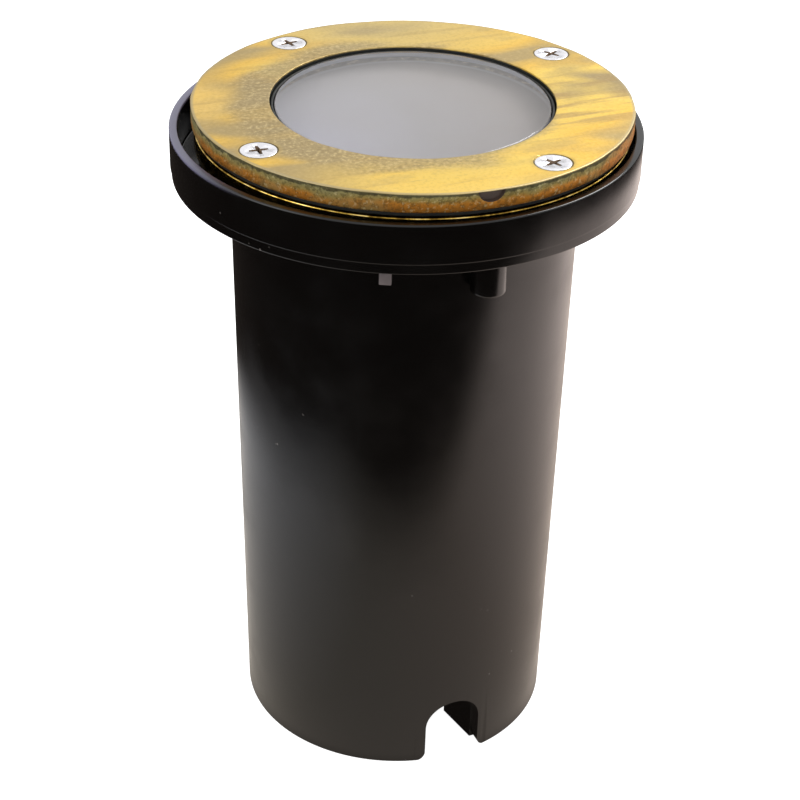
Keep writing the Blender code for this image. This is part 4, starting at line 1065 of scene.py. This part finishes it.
def make_gimbal():
    bore, outer, ledge = 25.3 * MM, 28.5 * MM, 23.3 * MM
    soft = 0.35 * MM
    outline = [(outer, 5 * MM, soft), (outer, -4 * MM, soft), (ledge, -4 * MM, soft), (ledge, -GAP, 0.2 * MM),
               (bore, -GAP, 0.15 * MM), (bore, 5 * MM, soft)]
    ring = turned("gimbal_hoop", outline, FINE, LAMP)
    holes = []
    for side in (-1, 1):
        lie = LAMP @ Matrix.Rotation(side * math.pi / 2, 4, "Y")
        holes.append((cylinder_mesh(2.3 * MM, outer - 2.8 * MM, outer + MM), lie))
    carve(ring, holes)
    ease(ring, 0.12 * MM, 1, 55)
    finished(ring, ALUMINIUM, "lamp", "aluminium", "gimbal_ring")
    for number, side in ((1, -1), (2, 1)):
        lie = LAMP @ Matrix.Rotation(side * math.pi / 2, 4, "Y")
        seat = 32.3 * MM
        pin = [(0, seat + 1.6 * MM), (3.6 * MM, seat + 1.6 * MM, 0.5 * MM), (3.6 * MM, seat, 0.15 * MM),
               (2 * MM, seat), (2 * MM, outer - 2.5 * MM), (0, outer - 2.5 * MM)]
        screw = turned(f"pivot_pin_{number}", pin, SMALL, lie, False)
        slot = box_mesh((8 * MM, 0.8 * MM, 1.6 * MM), (0, 0, seat + 1.6 * MM))
        carve(screw, [(slot, lie)])
        ease(screw, 0.08 * MM, 1, 60)
        finished(screw, STEEL, "lamp", "stainless", f"pivot_screw_{number}")


def make_lamp():
    rim, depth, neck, wall = 3 * MM, 34 * MM, 9.5 * MM, 1.6 * MM
    front = 23.0 * MM
    lens_seat = rim - 2.4 * MM - GAP
    steps = 24
    outer = []
    for i in range(steps + 1):
        share = 1 - i / steps
        outer.append((math.sqrt(neck ** 2 + (front ** 2 - neck ** 2) * share), -depth * (1 - share)))
    inner = [(r - wall, z + (wall if z < -depth / 2 else wall * max(0, -z / (depth / 2)))) for r, z in outer]
    profile = [(0, inner[-1][1])] + inner[::-1]
    profile += [(inner[0][0], lens_seat), (23.6 * MM, lens_seat), (23.6 * MM, rim),
                (25 * MM, rim), (25 * MM, 0)]
    profile += outer + [(0, -depth)]
    shell = object_from("lamp_reflector", turned_mesh(profile, ROUND, False), 40, LAMP)
    ease(shell, 0.15 * MM, 1, 60)
    finished(shell, ALUMINIUM, "lamp", "aluminium", "lamp_shell")

    glass = [(0, rim), (23.3 * MM, rim, 0.3 * MM), (23.3 * MM, lens_seat + GAP, 0.3 * MM),
             (0, lens_seat + GAP)]
    cover = turned("lamp_glass", glass, ROUND, LAMP, False)
    finished(cover, matt("lamp_glass", (0.95, 0.97, 0.97), 0.1, 0.97, transmission_weight=1.0, ior=1.48),
             "lamp", "lens", "lamp_lens")

    board = -depth + wall + GAP
    chip = turned("led_chip", [(0, board + 1.6 * MM), (6.5 * MM, board + 1.6 * MM, 0.3 * MM),
                               (6.5 * MM, board, 0.1 * MM), (0, board)], SMALL, LAMP, False)
    finished(chip, LED, "lamp", "led_board", "lamp_led_board")

    base_top, base_bottom = -depth - GAP, -depth - GAP - 10 * MM
    base = turned("lamp_foot", [(0, base_top), (8.5 * MM, base_top, 0.6 * MM),
                                (8.5 * MM, base_bottom, 1 * MM), (0, base_bottom)], SMALL, LAMP, False)
    socket_top = base_bottom - GAP
    bm = box_mesh((18 * MM, 11 * MM, 14 * MM), (0, 0, socket_top - 7 * MM))
    bmesh.ops.bevel(bm, geom=bm.edges[:], offset=1.0 * MM, segments=3, affect="EDGES", profile=0.5)
    socket = object_from("lamp_holder", bm, where=LAMP)
    for x in (-2.65 * MM, 2.65 * MM):
        hole = (1.05 * MM, socket_top - 6.3 * MM, base_bottom + 5.3 * MM, x)
        carve(base, [(cylinder_mesh(*hole, segments=24), LAMP)])
        carve(socket, [(cylinder_mesh(*hole, segments=24), LAMP)])
    finished(base, WHITE, "lamp", "white_plastic", "lamp_base")
    finished(socket, CERAMIC, "lamp", "ceramic", "lamp_socket")
    for number, x in ((1, -2.65 * MM), (2, 2.65 * MM)):
        where = LAMP @ Matrix.Translation((x, 0, 0))
        top, bottom = base_bottom + 5 * MM, socket_top - 6 * MM
        outline = [(0, top), (0.75 * MM, top, 0.1 * MM), (0.75 * MM, bottom, 0.4 * MM), (0, bottom)]
        pin = turned(f"contact_pin_{number}", outline, 24, where, False)
        finished(pin, STEEL, "lamp", "stainless", f"lamp_pin_{number}")


def make_clip():
    wire = 0.8 * MM
    center = 25.3 * MM - GAP - wire
    height = 3 * MM + GAP + wire
    section = [(center + r, height + z) for r, z in arc(0, 0, wire, 60, -282, 19)]
    clip = object_from("lamp_spring", turned_mesh(section, FINE), 60, LAMP)
    finished(clip, STEEL, "lamp", "stainless", "lamp_clip")


# Studio

def make_floor():
    bm = bmesh.new()
    bmesh.ops.create_grid(bm, x_segments=1, y_segments=1, size=6)
    floor = object_from("studio_floor", bm)
    floor.location.z = -0.2 * MM
    material = bpy.data.materials.new("studio_floor")
    material.use_nodes = True
    shader = material.node_tree.nodes["Principled BSDF"]
    shader.inputs["Base Color"].default_value = (0.6, 0.6, 0.6, 1)
    shader.inputs["Roughness"].default_value = 0.9
    shader.inputs["Emission Color"].default_value = (1, 1, 1, 1)
    shader.inputs["Emission Strength"].default_value = 0.98
    floor.data.materials.append(material)
    floor.visible_glossy = False

    bm = bmesh.new()
    bmesh.ops.create_grid(bm, x_segments=1, y_segments=1, size=3)
    sheet = object_from("studio_sheet", bm)
    sheet.data.materials.append(glow_sheet())
    sheet.rotation_euler.z = CAMERA_AZIMUTH
    sheet.location.z = -0.1 * MM
    sheet.visible_camera = False
    sheet.visible_diffuse = False
    sheet.visible_shadow = False
    sheet.visible_transmission = False


def make_world():
    world = bpy.data.worlds.new("studio")
    bpy.context.scene.world = world
    world.use_nodes = True
    world.node_tree.nodes["Background"].inputs["Color"].default_value = (1, 1, 1, 1)
    world.node_tree.nodes["Background"].inputs["Strength"].default_value = 0.9


def make_lights():
    top = Vector((PIVOT.x, PIVOT.y, RING_TOP))
    for name, side, away, rise, size, power in (("key", 0.5, 0.5, 0.7, 0.5, 6.0),
                                                ("fill", -0.8, -0.3, 0.6, 0.6, 2.0)):
        data = bpy.data.lights.new(name, "AREA")
        data.shape = "DISK"
        data.size = size
        data.energy = power
        lamp = bpy.data.objects.new(name, data)
        bpy.context.scene.collection.objects.link(lamp)
        lamp.location = top + RIGHT * side + AWAY * away + Vector((0, 0, rise))
        lamp.rotation_euler = (top - lamp.location).to_track_quat("-Z", "Y").to_euler()


def make_camera():
    """Fixed by the ring: its top's centre lies at these shares of its radius from the lens."""
    pitch, roll = math.radians(31.17), math.radians(1.40)
    right_share, down_share, forward_share = 0.059, -1.356, 8.998
    rows = Matrix(((1, 0, 0), (0, -math.sin(pitch), -math.cos(pitch)),
                   (0, math.cos(pitch), -math.sin(pitch))))
    world_to_view = Matrix((RIGHT, AWAY, (0, 0, 1)))
    turn = Matrix(((math.cos(roll), -math.sin(roll), 0), (math.sin(roll), math.cos(roll), 0), (0, 0, 1)))
    facing = turn @ rows @ world_to_view
    offset = Vector((right_share, down_share, forward_share)) * RING_RADIUS
    spot = Vector((PIVOT.x, PIVOT.y, RING_TOP)) - facing.transposed() @ offset
    data = bpy.data.cameras.new("camera")
    data.lens = 90
    data.sensor_width = 36
    data.clip_start = 0.01
    camera = bpy.data.objects.new("camera", data)
    bpy.context.scene.collection.objects.link(camera)
    axes = Matrix((facing[0], -facing[1], -facing[2])).transposed()
    camera.matrix_world = Matrix.Translation(spot) @ axes.to_4x4()
    bpy.context.scene.camera = camera


make_camera()
make_sleeve()
make_can()
make_gland()
make_ring()
make_screws()
make_lens()
make_bracket()
make_block()
make_leads()
make_gimbal()
make_lamp()
make_clip()
make_floor()
make_world()
make_lights()

settings = bpy.context.scene.view_settings
settings.view_transform = "Standard"
settings.look = "None"
